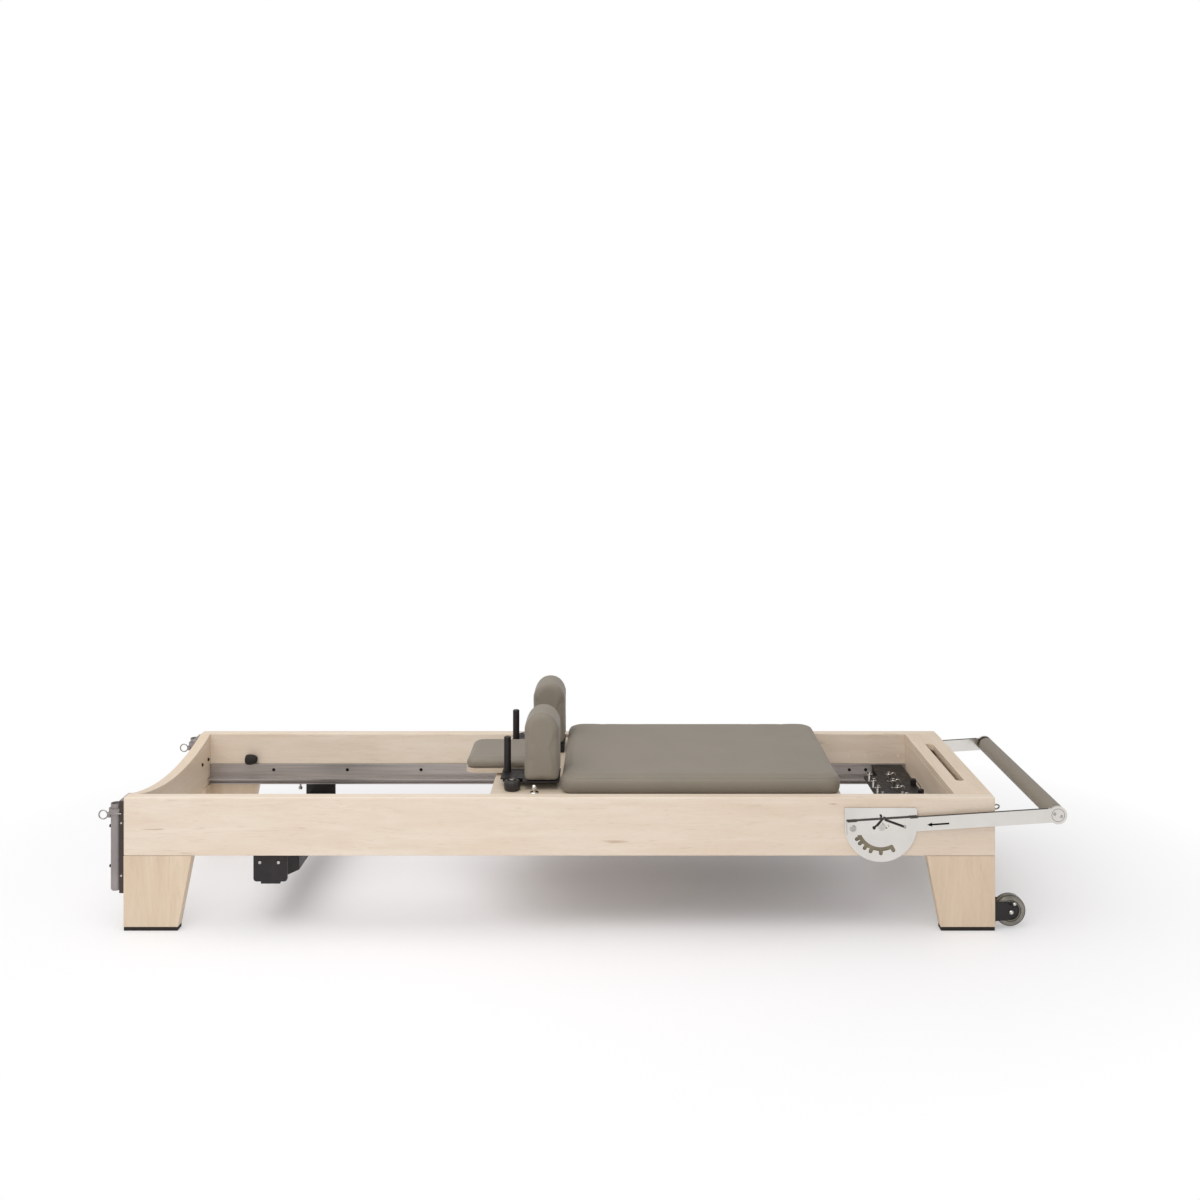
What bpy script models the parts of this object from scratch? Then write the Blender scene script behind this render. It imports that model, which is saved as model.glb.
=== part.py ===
import math

import bmesh
import bpy
from mathutils import Matrix, Vector

# Frame
LENGTH = 2.400
WIDTH = 0.700
RAIL_THICK = 0.035
RAIL_BOTTOM = 0.206
RAIL_TOP = 0.367
RAIL_ROUND = 0.003
GAP = 0.0003
HEAD_BOARD_THICK = 0.032
HEAD_BOARD_DIP = 0.040
FOOT_BOARD_THICK = 0.032
FOOT_INNER_THICK = 0.020
PLATFORM_DEPTH = 0.104
PLATFORM_THICK = 0.020
SLOT_LENGTH = 0.390
SLOT_WIDTH = 0.024
SLOT_FROM_END = 0.055
LEG_TOP = 0.188
LEG_FOOT = 0.150
LEG_RETURN_TOP = 0.100
LEG_RETURN_FOOT = 0.088
PAD_THICK = 0.010
PAD_INSET = 0.001

# Tracks
TRACK_TALL = 0.0645
TRACK_WALL = 0.004
LEDGE_RISE = 0.0225
LEDGE_REACH = 0.032
LIP_REACH = 0.012
FLANGE_REACH = 0.008
TRACK_END_GAP = 0.001
HOLE_DROP = 0.020
HOLE_R = 0.0055
HOLE_FROM_HEAD = 0.239
HOLE_FROM_FOOT = 0.481
HOLE_COUNT = 8
PLACE_FROM_FOOT = 0.286
PLACE_PITCH = 0.053
PLACE_COUNT = 4
STOP_FROM_FOOT = 0.4697
FOOT_STOP_LONG = 0.016
FOOT_STOP_TALL = 0.018
FOOT_STOP_REACH = 0.045

# Cross beam
BEAM_FROM_HEAD = 0.394
BEAM_WIDE = 0.066
BEAM_BELLY = 0.033
BEAM_BELLY_Y = 0.250
BEAM_BOTTOM = 0.132
BEAM_TOP = 0.182
BEAM_PLATE_WIDE = 0.094
BEAM_PLATE_BOTTOM = 0.121
BEAM_PLATE_THICK = 0.008
BEAM_PLATE_CLEAR = 0.004
BEAM_PLATE_ROUND = 0.008
BEAM_SHOE_WIDE = 0.053
BEAM_SHOE_BOTTOM = 0.1145

# Travel stops
TRAVEL_STOP_FROM_HEAD = 0.189
TRAVEL_STOP_LONG = 0.038
TRAVEL_STOP_R = 0.0165
TRAVEL_STOP_GROOVE = 0.002

# Tower sockets
SOCKET_FROM_FACE = 0.015
SOCKET_R = 0.014
SOCKET_WALL = 0.002
SOCKET_BOTTOM = 0.108
SOCKET_TOP = 0.348
SOCKET_FLOOR = 0.010
SOCKET_SINK = 0.0008
SOCKET_PLATE_THICK = 0.012
SOCKET_PLATE_WIDE = 0.073
SOCKET_PLATE_SHY = 0.002
SOCKET_PLATE_BOTTOM = 0.1015
SOCKET_PLATE_TOP = 0.3575
COLLAR_R = 0.019
COLLAR_BOTTOM = 0.324
COLLAR_TOP = 0.335
LUG_R = 0.008
LUG_REACH = 0.0215
SOCKET_PIN_Z = 0.315
SOCKET_PIN_R = 0.003
SOCKET_PIN_TIP = 0.005
SOCKET_RING_R = 0.0120
SOCKET_RING_WIRE = 0.0018
SOCKET_RING_REACH = 0.0357

# Foot bar
PIVOT_FROM_FOOT = 0.316
PIVOT_Z = 0.291
ARM_TILT = 3.7
ARM_LONG = 0.4856
ARM_HEAD = 0.094
ARM_TALL = 0.038
ARM_THICK = 0.008
ARM_END_R = 0.025
ARM_SLOT_HEAD = 0.0085
ARM_SLOT_FOOT = 0.0215
GEAR_R = 0.0995
GEAR_RISE = 0.049
GEAR_CORNER = 0.008
GEAR_THICK = 0.005
GEAR_GAP = 0.0005
GEAR_SLOT_R = 0.0645
GEAR_TRAVEL = 0.0115
NOTCH_ANGLES = (0.0, 25.3, 36.3, 50.3, 64.3, 86.3, 113.3)
PIN_R = 0.0045
PIN_PLAY = 0.0008
BOLT_R = 0.006
BOLT_PLAY = 0.0003
BOLT_HEAD_R = 0.0105
BOLT_HEAD_TALL = 0.004
BOLT_TIP = 0.318
TUBE_R = 0.016
TUBE_WALL = 0.002
GRIP_R = 0.025
GRIP_END_GAP = 0.007

# Transport wheels
WHEEL_REACH = 0.0465
WHEEL_Z = 0.0476
WHEEL_FROM_FACE = 0.030
WHEEL_R = 0.043
WHEEL_WIDE = 0.026
HUB_R = 0.029
HUB_SINK = 0.003
AXLE_R = 0.005
AXLE_PLAY = 0.0004
CHEEK_GAP = 0.003
CHEEK_THICK = 0.004
CHEEK_BOTTOM = 0.022
CHEEK_TOP = 0.076
CHEEK_R = 0.014
BRACKET_BACK = 0.0022

# Spring bar
BAR_FROM_PLATFORM = 0.012
BAR_WIDE = 0.146
BAR_TAB_WIDE = 0.099
BAR_TAB_Y = 0.190
BAR_TALL = 0.038
BAR_THICK = 0.006
BAR_CLEAR = 0.010
BAR_FOOT_THICK = 0.014
POST_FROM_EDGE = 0.009
POST_ROWS_APART = 0.059
POST_PITCH = 0.067
POST_TALL = 0.028
POST_R = 0.0045
POST_HEAD_R = 0.0085
BAR_KNOB_FROM_EDGE = 0.009
BAR_KNOB_MIDDLE_Y = 0.047
BAR_KNOB_APART = 0.104
BAR_KNOB_R = 0.009
BAR_KNOB_TALL = 0.018

# Carriage
DECK_PAST_STOP = 0.0557
DECK_LONG = 0.983
DECK_CLEAR = 0.009
DECK_DROP = 0.010
DECK_THICK = 0.020
DECK_CORNER = 0.010
PAD_IN = 0.193
PAD_OVERHANG = 0.007
PAD_SHY = 0.003
PAD_TALL = 0.053
PAD_CROWN = 0.005
PAD_CORNER = 0.042
IRON_CLEAR = 0.008
IRON_THICK = 0.004
IRON_FLANGE = 0.022
IRON_RISE = 0.007
IRON_FROM_EDGE = 0.007
TAB_THICK = 0.006
TAB_CLEAR = 0.012
TAB_RISE = 0.004
TAB_TALL = 0.036
ROLLER_R = 0.022
ROLLER_CLEAR = 0.010
ROLLER_WIDE = 0.019
ROLLER_FROM_HEAD = 0.247
ROLLER_FROM_STOP = 0.0303
STUB_R = 0.005
STUB_PROUD = 0.002
SPRING_PITCH = 0.067
SPRING_R = 0.012
SPRING_DROP = 0.052
SPRING_IN_HEAD = 0.017
SPRING_IN_FOOT = 0.0215
SPRING_EYE_R = 0.003
SPRING_EYE_HEAD_R = 0.006
CARRIER_LONG = 0.3335
CARRIER_FROM_STOP = 0.0088
CARRIER_WALL = 0.003
CARRIER_HALF = 0.170
CARRIER_TALL = 0.066
CARRIER_HOLE_R = 0.0036

# Headrest
HEADREST_LONG = 0.235
HEADREST_IN = 0.142
HEADREST_CLEAR = 0.008
HEADREST_CORNER = 0.028
HEADREST_RISE = 0.0087
HEADREST_BOARD_THICK = 0.0125
HEADREST_PAD_TALL = 0.030
HINGE_OUT = 0.0015
HINGE_R = 0.0055
BATTEN_IN = 0.007
BATTEN_WIDE = 0.018
BATTEN_SHY = 0.028

# Shoulder rests
REST_FROM_PAD = 0.002
REST_LONG = 0.098
REST_FROM_EDGE = 0.050
REST_WIDE = 0.130
REST_TALL = 0.219
BASE_RISE = 0.025
BASE_THICK = 0.004
BASE_LONG = 0.168
BASE_STEP_LONG = 0.103
BASE_NECK_SHY = 0.035
BASE_SHY = 0.004
BASE_FOOT_WIDE = 0.046
PEG_FROM_EDGE = 0.015
PEG_IN = 0.031
PEG_R = 0.0102
PEG_TALL = 0.127
KNOB_FROM_EDGE = 0.036
KNOB_SHY = 0.007
KNOB_R = 0.023
KNOB_TALL = 0.032
PLUNGER_FROM_HEAD = 0.123
PLUNGER_FROM_EDGE = 0.030
PLUNGER_R = 0.0035
PLUNGER_BODY_R = 0.007
PLUNGER_TALL = 0.024
PLUNGER_BAR = 0.022
PLUNGER_SINK = 0.016

END_X = LENGTH / 2
FACE_Y = WIDTH / 2
PLATFORM_X = END_X - PLATFORM_DEPTH
HOLE_FIRST = -END_X + HOLE_FROM_HEAD
HOLE_PITCH = (END_X - HOLE_FROM_FOOT - HOLE_FIRST) / (HOLE_COUNT - 1)
PLACE_FIRST = END_X - PLACE_FROM_FOOT
FOOT_STOP_X = END_X - STOP_FROM_FOOT
BEAM_X = -END_X + BEAM_FROM_HEAD
TRAVEL_STOP_FACE = -END_X + TRAVEL_STOP_FROM_HEAD
PIVOT_X = END_X - PIVOT_FROM_FOOT
WHEEL_X = END_X + WHEEL_REACH
BAR_FOOT_X = PLATFORM_X - BAR_FROM_PLATFORM
BAR_HEAD_X = BAR_FOOT_X - BAR_WIDE
BAR_TAB_HEAD_X = BAR_FOOT_X - BAR_TAB_WIDE
POST_HEAD_X = BAR_HEAD_X + POST_FROM_EDGE
POST_FOOT_X = POST_HEAD_X + POST_ROWS_APART
BAR_KNOB_X = BAR_FOOT_X - BAR_KNOB_FROM_EDGE
DECK_FOOT = FOOT_STOP_X + DECK_PAST_STOP
DECK_HEAD = DECK_FOOT - DECK_LONG
PAD_FOOT = DECK_FOOT + PAD_OVERHANG
PAD_HEAD = DECK_HEAD + PAD_IN
IRON_HEAD = DECK_HEAD + IRON_FROM_EDGE
ROLLER_X = DECK_HEAD + ROLLER_FROM_HEAD
CARRIER_FOOT = FOOT_STOP_X - CARRIER_FROM_STOP
CARRIER_HEAD = CARRIER_FOOT - CARRIER_LONG
SPRING_HEAD = CARRIER_HEAD + SPRING_IN_HEAD
SPRING_FOOT = CARRIER_FOOT - SPRING_IN_FOOT
HEADREST_FOOT = DECK_HEAD + HEADREST_IN
HEADREST_HEAD = HEADREST_FOOT - HEADREST_LONG
HINGE_X = HEADREST_FOOT + HINGE_OUT
BATTEN_HEAD = DECK_HEAD + BATTEN_IN
REST_FOOT = PAD_HEAD - REST_FROM_PAD
REST_HEAD = REST_FOOT - REST_LONG
BASE_HEAD = REST_FOOT - BASE_LONG
BASE_STEP = REST_FOOT - BASE_STEP_LONG
PEG_X = BASE_HEAD + PEG_FROM_EDGE
KNOB_X = BASE_HEAD + KNOB_FROM_EDGE
PLUNGER_X = DECK_HEAD + PLUNGER_FROM_HEAD
INNER_Y = FACE_Y - RAIL_THICK
SOCKET_Y = FACE_Y - SOCKET_FROM_FACE
SOCKET_PLATE_OUTER = FACE_Y - SOCKET_PLATE_SHY
SOCKET_PLATE_INNER = SOCKET_PLATE_OUTER - SOCKET_PLATE_WIDE
WHEEL_Y = FACE_Y - WHEEL_FROM_FACE
BEAM_PLATE_FACE = INNER_Y - BEAM_PLATE_CLEAR
BAR_REACH = INNER_Y - BAR_CLEAR
TAB_Y = INNER_Y - TAB_CLEAR
ROLLER_INNER = INNER_Y - ROLLER_CLEAR - ROLLER_WIDE
STUB_END = ROLLER_INNER + ROLLER_WIDE + STUB_PROUD
IRON_Y = ROLLER_INNER - IRON_CLEAR
DECK_HALF = INNER_Y - DECK_CLEAR
PAD_HALF = DECK_HALF - PAD_SHY
REST_OUTER = DECK_HALF - REST_FROM_EDGE
REST_INNER = REST_OUTER - REST_WIDE
HEADREST_HALF = REST_INNER - HEADREST_CLEAR
BATTEN_HALF = HEADREST_HALF - BATTEN_SHY
BASE_FOOT_OUTER = REST_INNER + BASE_FOOT_WIDE
PEG_Y = REST_INNER + PEG_IN
BASE_OUTER = REST_OUTER - BASE_SHY
BASE_NECK = REST_OUTER - BASE_NECK_SHY
KNOB_Y = REST_OUTER - KNOB_SHY
PLUNGER_Y = DECK_HALF - PLUNGER_FROM_EDGE
ARM_NEAR = FACE_Y + GAP + GEAR_THICK + GEAR_GAP
ARM_FAR = ARM_NEAR + ARM_THICK
TILT = math.radians(ARM_TILT)
GRIP_X = PIVOT_X + ARM_LONG * math.cos(TILT)
GRIP_Z = PIVOT_Z + ARM_LONG * math.sin(TILT)
SOCKET_X = -END_X - GAP - SOCKET_PLATE_THICK + SOCKET_SINK - SOCKET_R
SOCKET_RING_X = SOCKET_X - SOCKET_RING_REACH
RING_END = SOCKET_RING_X - SOCKET_RING_R - SOCKET_RING_WIRE
MIDDLE_X = round((GRIP_X + GRIP_R + RING_END) / 2, 3)
TRACK_BOTTOM = RAIL_BOTTOM
TRACK_TOP = TRACK_BOTTOM + TRACK_TALL
LEDGE_TOP = TRACK_BOTTOM + LEDGE_RISE
HOLE_Z = TRACK_TOP - HOLE_DROP
BAR_TOP = LEDGE_TOP + BAR_TALL
POST_TOP = BAR_TOP + POST_TALL
DECK_TOP = RAIL_TOP - DECK_DROP
DECK_BOTTOM = DECK_TOP - DECK_THICK
PAD_TOP = DECK_TOP + PAD_TALL
SPRING_Z = DECK_BOTTOM - SPRING_DROP
ROLLER_XS = (ROLLER_X, FOOT_STOP_X - ROLLER_FROM_STOP)
BASE_TOP = DECK_TOP + BASE_RISE
REST_TOP = DECK_TOP + REST_TALL
SIDES = (("front", -1), ("back", 1))

for old in list(bpy.data.objects):
    bpy.data.objects.remove(old, do_unlink=True)

PARTS = bpy.data.collections.new("pilates_reformer")
TOOLS = bpy.data.collections.new("cutters")
bpy.context.scene.collection.children.link(PARTS)
bpy.context.scene.collection.children.link(TOOLS)
ROOT = bpy.data.objects.new("reformer_middle", None)
ROOT.location = (-MIDDLE_X, 0, 0)
PARTS.objects.link(ROOT)

COLOURS = {
    "maple": ((0.79, 0.66, 0.51), 0.0, 0.45),
    "inside": ((0.70, 0.52, 0.37), 0.0, 0.5),
    "cover": ((0.30, 0.27, 0.23), 0.0, 0.6),
    "black": ((0.03, 0.03, 0.03), 0.6, 0.5),
    "rubber": ((0.03, 0.025, 0.02), 0.0, 0.8),
    "alloy": ((0.27, 0.25, 0.23), 0.9, 0.4),
    "grey": ((0.20, 0.19, 0.18), 0.6, 0.45),
    "chrome": ((0.75, 0.75, 0.75), 1.0, 0.15),
    "smoke": ((0.20, 0.20, 0.18), 0.0, 0.3),
}


def paint(obj, kind):
    colour, metal, rough = COLOURS[kind]
    mat = bpy.data.materials.new(obj.name + "_" + kind)
    mat.use_nodes = True
    shader = mat.node_tree.nodes["Principled BSDF"]
    shader.inputs["Base Color"].default_value = (*colour, 1)
    shader.inputs["Metallic"].default_value = metal
    shader.inputs["Roughness"].default_value = rough
    mat.diffuse_color = (*colour, 1)
    obj.data.materials.append(mat)


def add(name, bm, kind, origin=(0, 0, 0)):
    bmesh.ops.translate(bm, verts=bm.verts, vec=-Vector(origin))
    bmesh.ops.recalc_face_normals(bm, faces=bm.faces)
    mesh = bpy.data.meshes.new(name)
    bm.to_mesh(mesh)
    bm.free()
    mesh.shade_smooth()
    mesh.set_sharp_from_angle(angle=math.radians(35))
    obj = bpy.data.objects.new(name, mesh)
    obj.location = origin
    obj.parent = ROOT
    if kind:
        PARTS.objects.link(obj)
        paint(obj, kind)
    else:
        TOOLS.objects.link(obj)
        obj.hide_render = True
        obj.display_type = "WIRE"
    return obj


def box_bm(lo, hi):
    bm = bmesh.new()
    lo, hi = Vector(lo), Vector(hi)
    size = [abs(b - a) for a, b in zip(lo, hi)]
    matrix = Matrix.Translation((lo + hi) / 2) @ Matrix.Diagonal((*size, 1))
    bmesh.ops.create_cube(bm, size=1, matrix=matrix)
    return bm


def box(name, lo, hi, kind, bevel=0, origin=(0, 0, 0)):
    obj = add(name, box_bm(lo, hi), kind, origin)
    if bevel:
        round_edges(obj, bevel)
    return obj


def round_edges(obj, width, segments=2):
    mod = obj.modifiers.new("round", "BEVEL")
    mod.width = width
    mod.segments = segments
    mod.limit_method = "ANGLE"
    mod.angle_limit = math.radians(40)


def combine(obj, other, operation):
    mod = obj.modifiers.new(operation.lower(), "BOOLEAN")
    mod.operation = operation
    mod.solver = "EXACT"
    mod.object = other


def fuse(obj, *others):
    for other in others:
        combine(obj, other, "UNION")


def cut(obj, *others):
    for other in others:
        combine(obj, other, "DIFFERENCE")


AXES = {
    "X": Matrix(((0, 0, 1, 0), (1, 0, 0, 0), (0, 1, 0, 0), (0, 0, 0, 1))),
    "Y": Matrix(((1, 0, 0, 0), (0, 0, -1, 0), (0, 1, 0, 0), (0, 0, 0, 1))),
    "Z": Matrix.Identity(4),
}


def plate_bm(loops, axis, near, far):
    curve = bpy.data.curves.new("outline", "CURVE")
    curve.dimensions = "2D"
    curve.fill_mode = "BOTH"
    curve.extrude = abs(far - near) / 2
    for loop in loops:
        spline = curve.splines.new("POLY")
        spline.points.add(len(loop) - 1)
        for point, (a, b) in zip(spline.points, loop):
            point.co = (a, b, 0, 1)
        spline.use_cyclic_u = True
    outline = bpy.data.objects.new("outline", curve)
    bpy.context.scene.collection.objects.link(outline)
    bpy.context.view_layer.update()
    solid = outline.evaluated_get(bpy.context.evaluated_depsgraph_get())
    mesh = bpy.data.meshes.new_from_object(solid)
    bm = bmesh.new()
    bm.from_mesh(mesh)
    bpy.data.objects.remove(outline, do_unlink=True)
    bpy.data.meshes.remove(mesh)
    bmesh.ops.remove_doubles(bm, verts=bm.verts, dist=0.00001)
    middle = (near + far) / 2
    shift = {"X": (middle, 0, 0), "Y": (0, middle, 0), "Z": (0, 0, middle)}[axis]
    bm.transform(Matrix.Translation(shift) @ AXES[axis])
    return bm


def plate(name, loops, axis, near, far, kind, bevel=0, origin=(0, 0, 0)):
    obj = add(name, plate_bm(loops, axis, near, far), kind, origin)
    if bevel:
        round_edges(obj, bevel)
    return obj


def rod_bm(start, end, radius, segments=16):
    bm = bmesh.new()
    start, end = Vector(start), Vector(end)
    turn = (end - start).to_track_quat("Z", "Y").to_matrix().to_4x4()
    matrix = Matrix.Translation((start + end) / 2) @ turn
    bmesh.ops.create_cone(bm, cap_ends=True, segments=segments, radius1=radius,
                          radius2=radius, depth=(end - start).length, matrix=matrix)
    return bm


def rod(name, start, end, radius, kind=None, segments=16, origin=(0, 0, 0)):
    return add(name, rod_bm(start, end, radius, segments), kind, origin)


def rods(name, ends, radius, segments=12):
    whole = bmesh.new()
    for start, end in ends:
        part = rod_bm(start, end, radius, segments)
        mesh = bpy.data.meshes.new("rod")
        part.to_mesh(mesh)
        part.free()
        whole.from_mesh(mesh)
        bpy.data.meshes.remove(mesh)
    return add(name, whole, None)


TURNS = {"X": (0, math.pi / 2, 0), "Y": (-math.pi / 2, 0, 0), "Z": (0, 0, 0)}


def turned(name, profile, axis, origin, kind, steps=24, ring=False):
    bm = bmesh.new()
    points = [bm.verts.new((radius, 0, height)) for radius, height in profile]
    for a, b in zip(points, points[1:]):
        bm.edges.new((a, b))
    if ring:
        bm.edges.new((points[-1], points[0]))
    mesh = bpy.data.meshes.new(name)
    bm.to_mesh(mesh)
    bm.free()
    obj = bpy.data.objects.new(name, mesh)
    obj.location = origin
    obj.rotation_euler = TURNS[axis]
    obj.parent = ROOT
    mod = obj.modifiers.new("turn", "SCREW")
    mod.axis = "Z"
    mod.steps = steps
    mod.render_steps = steps
    mod.use_merge_vertices = True
    mod.merge_threshold = 0.00001
    mod.use_smooth_shade = True
    if kind:
        PARTS.objects.link(obj)
        paint(obj, kind)
    else:
        TOOLS.objects.link(obj)
        obj.hide_render = True
        obj.display_type = "WIRE"
    return obj


def wire_ring(name, centre, radius, thick, points=20):
    curve = bpy.data.curves.new(name, "CURVE")
    curve.dimensions = "3D"
    curve.bevel_depth = thick
    curve.bevel_resolution = 2
    spline = curve.splines.new("POLY")
    spline.points.add(points - 1)
    for i, point in enumerate(spline.points):
        a = 2 * math.pi * i / points
        point.co = (centre[0] + radius * math.cos(a), centre[1], centre[2] + radius * math.sin(a), 1)
    spline.use_cyclic_u = True
    ring = bpy.data.objects.new(name, curve)
    bpy.context.scene.collection.objects.link(ring)
    bpy.context.view_layer.update()
    mesh = bpy.data.meshes.new_from_object(ring.evaluated_get(bpy.context.evaluated_depsgraph_get()))
    bm = bmesh.new()
    bm.from_mesh(mesh)
    bpy.data.objects.remove(ring, do_unlink=True)
    bpy.data.meshes.remove(mesh)
    bmesh.ops.remove_doubles(bm, verts=bm.verts, dist=0.00001)
    return add(name, bm, None)


def arc(cx, cy, radius, start, end, count):
    step = (end - start) / count
    angles = [math.radians(start + step * i) for i in range(count + 1)]
    return [(cx + radius * math.cos(a), cy + radius * math.sin(a)) for a in angles]


def rounded(x0, x1, y0, y1, radii, count=6):
    bl, br, tr, tl = radii
    return (arc(x0 + bl, y0 + bl, bl, 180, 270, count) + arc(x1 - br, y0 + br, br, 270, 360, count)
            + arc(x1 - tr, y1 - tr, tr, 0, 90, count) + arc(x0 + tl, y1 - tl, tl, 90, 180, count))


def loft_bm(rings):
    bm = bmesh.new()
    loops = [[bm.verts.new(point) for point in ring] for ring in rings]
    bm.faces.new(list(reversed(loops[0])))
    bm.faces.new(loops[-1])
    for low, high in zip(loops, loops[1:]):
        for i in range(len(low)):
            j = (i + 1) % len(low)
            bm.faces.new((low[i], low[j], high[j], high[i]))
    return bm


# Side rails with a blind hole for the foot bar's pivot bolt
for side, s in SIDES:
    rail = box(f"rail_{side}", (-END_X, s * INNER_Y, RAIL_BOTTOM), (END_X, s * FACE_Y, RAIL_TOP),
               "maple", RAIL_ROUND)
    cut(rail, rod(f"pivot_hole_{side}", (PIVOT_X, s * (BOLT_TIP - 0.001), PIVOT_Z),
                  (PIVOT_X, s * (FACE_Y + 0.01), PIVOT_Z), BOLT_R + BOLT_PLAY))

# End boards and platform
BOARD_Y = INNER_Y - GAP
dip_r = (BOARD_Y ** 2 + HEAD_BOARD_DIP ** 2) / (2 * HEAD_BOARD_DIP)
half = math.degrees(math.asin(BOARD_Y / dip_r))
head_top = arc(0, RAIL_TOP - HEAD_BOARD_DIP + dip_r, dip_r, 270 + half, 270 - half, 20)
plate("head_board", [[(-BOARD_Y, RAIL_BOTTOM), (BOARD_Y, RAIL_BOTTOM)] + head_top], "X",
      -END_X, -END_X + HEAD_BOARD_THICK, "maple", 0.002)
PLATFORM_BOTTOM = RAIL_TOP - PLATFORM_THICK
box("foot_board", (END_X - FOOT_BOARD_THICK, -BOARD_Y, RAIL_BOTTOM),
    (END_X, BOARD_Y, PLATFORM_BOTTOM - GAP), "maple", 0.0015)
box("foot_inner_board", (PLATFORM_X, -BOARD_Y, RAIL_BOTTOM),
    (PLATFORM_X + FOOT_INNER_THICK, BOARD_Y, PLATFORM_BOTTOM - GAP), "maple", 0.0015)
slot_x = END_X - SLOT_FROM_END
slot_r = SLOT_WIDTH / 2
slot = rounded(slot_x - slot_r, slot_x + slot_r, -SLOT_LENGTH / 2, SLOT_LENGTH / 2, (slot_r - 0.0001,) * 4)
plate("foot_platform", [[(PLATFORM_X, -BOARD_Y), (END_X, -BOARD_Y), (END_X, BOARD_Y), (PLATFORM_X, BOARD_Y)],
                        slot], "Z", PLATFORM_BOTTOM, RAIL_TOP, "maple", 0.0015)


def corner(e, s, along, across, inset=0.0):
    face_x = e * (END_X - inset)
    face_y = s * (FACE_Y - inset)
    wall = RAIL_THICK - 2 * inset
    end_x = e * (END_X - along + inset)
    end_y = s * (FACE_Y - across + inset)
    return [(face_x, face_y), (face_x, end_y), (face_x - e * wall, end_y),
            (face_x - e * wall, face_y - s * wall), (end_x, face_y - s * wall), (end_x, face_y)]


# Legs and their rubber pads
for end, e in (("head", -1), ("foot", 1)):
    for side, s in SIDES:
        foot = [(x, y, PAD_THICK) for x, y in corner(e, s, LEG_FOOT, LEG_RETURN_FOOT)]
        top = [(x, y, RAIL_BOTTOM - GAP) for x, y in corner(e, s, LEG_TOP, LEG_RETURN_TOP)]
        leg = add(f"leg_{end}_{side}", loft_bm([foot, top]), "maple")
        round_edges(leg, 0.0015)
        plate(f"foot_pad_{end}_{side}", [corner(e, s, LEG_FOOT, LEG_RETURN_FOOT, PAD_INSET)], "Z",
              0, PAD_THICK - GAP, "rubber")

# Tracks with roller shelf, locating holes and foot stop
TRACK_HEAD = -END_X + HEAD_BOARD_THICK + TRACK_END_GAP
TRACK_FOOT = PLATFORM_X - TRACK_END_GAP
holes = [HOLE_FIRST + HOLE_PITCH * i for i in range(HOLE_COUNT)]
holes += [PLACE_FIRST + PLACE_PITCH * i for i in range(PLACE_COUNT)]
for side, s in SIDES:
    back = INNER_Y - GAP
    web = back - TRACK_WALL
    section = [(back, TRACK_BOTTOM), (back, TRACK_TOP), (INNER_Y - FLANGE_REACH, TRACK_TOP),
               (INNER_Y - FLANGE_REACH, TRACK_TOP - TRACK_WALL), (web, TRACK_TOP - TRACK_WALL),
               (web, LEDGE_TOP), (INNER_Y - LEDGE_REACH, LEDGE_TOP),
               (INNER_Y - LEDGE_REACH, LEDGE_TOP - TRACK_WALL), (web, LEDGE_TOP - TRACK_WALL),
               (web, TRACK_BOTTOM + TRACK_WALL), (INNER_Y - LIP_REACH, TRACK_BOTTOM + TRACK_WALL),
               (INNER_Y - LIP_REACH, TRACK_BOTTOM)]
    track = plate(f"track_{side}", [[(s * y, z) for y, z in section]], "X", TRACK_HEAD, TRACK_FOOT, "alloy")
    cut(track, rods(f"track_holes_{side}", [((x, s * (web - 0.004), HOLE_Z), (x, s * (back + 0.004), HOLE_Z))
                                            for x in holes], HOLE_R))
    fuse(track, box(f"foot_stop_{side}",
                    (FOOT_STOP_X, s * (INNER_Y - FOOT_STOP_REACH), LEDGE_TOP - 0.002),
                    (FOOT_STOP_X + FOOT_STOP_LONG, s * (web + 0.001), LEDGE_TOP + FOOT_STOP_TALL), None))

# Cross beam under the tracks
beam_head, beam_foot, beam_end = BEAM_X - BEAM_WIDE / 2, BEAM_X + BEAM_WIDE / 2, BEAM_PLATE_FACE - 0.003
beam_edge = [(beam_head, -beam_end), (beam_foot, -beam_end), (beam_foot + BEAM_BELLY, -BEAM_BELLY_Y),
             (beam_foot + BEAM_BELLY, BEAM_BELLY_Y), (beam_foot, beam_end), (beam_head, beam_end)]
beam = plate("cross_beam", [beam_edge], "Z", BEAM_BOTTOM, BEAM_TOP, "black")
for side, s in SIDES:
    outline = rounded(BEAM_X - BEAM_PLATE_WIDE / 2, BEAM_X + BEAM_PLATE_WIDE / 2, BEAM_PLATE_BOTTOM,
                      TRACK_BOTTOM - GAP, (BEAM_PLATE_ROUND, BEAM_PLATE_ROUND, 0.001, 0.001), 4)
    face = s * BEAM_PLATE_FACE
    wing = plate(f"beam_plate_{side}", [outline], "Y", face, face - s * BEAM_PLATE_THICK, None)
    shoe = box(f"beam_shoe_{side}", (BEAM_X - BEAM_SHOE_WIDE / 2, face - s * 0.001, BEAM_SHOE_BOTTOM),
               (BEAM_X + BEAM_SHOE_WIDE / 2, face - s * (BEAM_PLATE_THICK + 0.006), BEAM_BOTTOM + 0.004), None)
    fuse(beam, wing, shoe)

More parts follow.
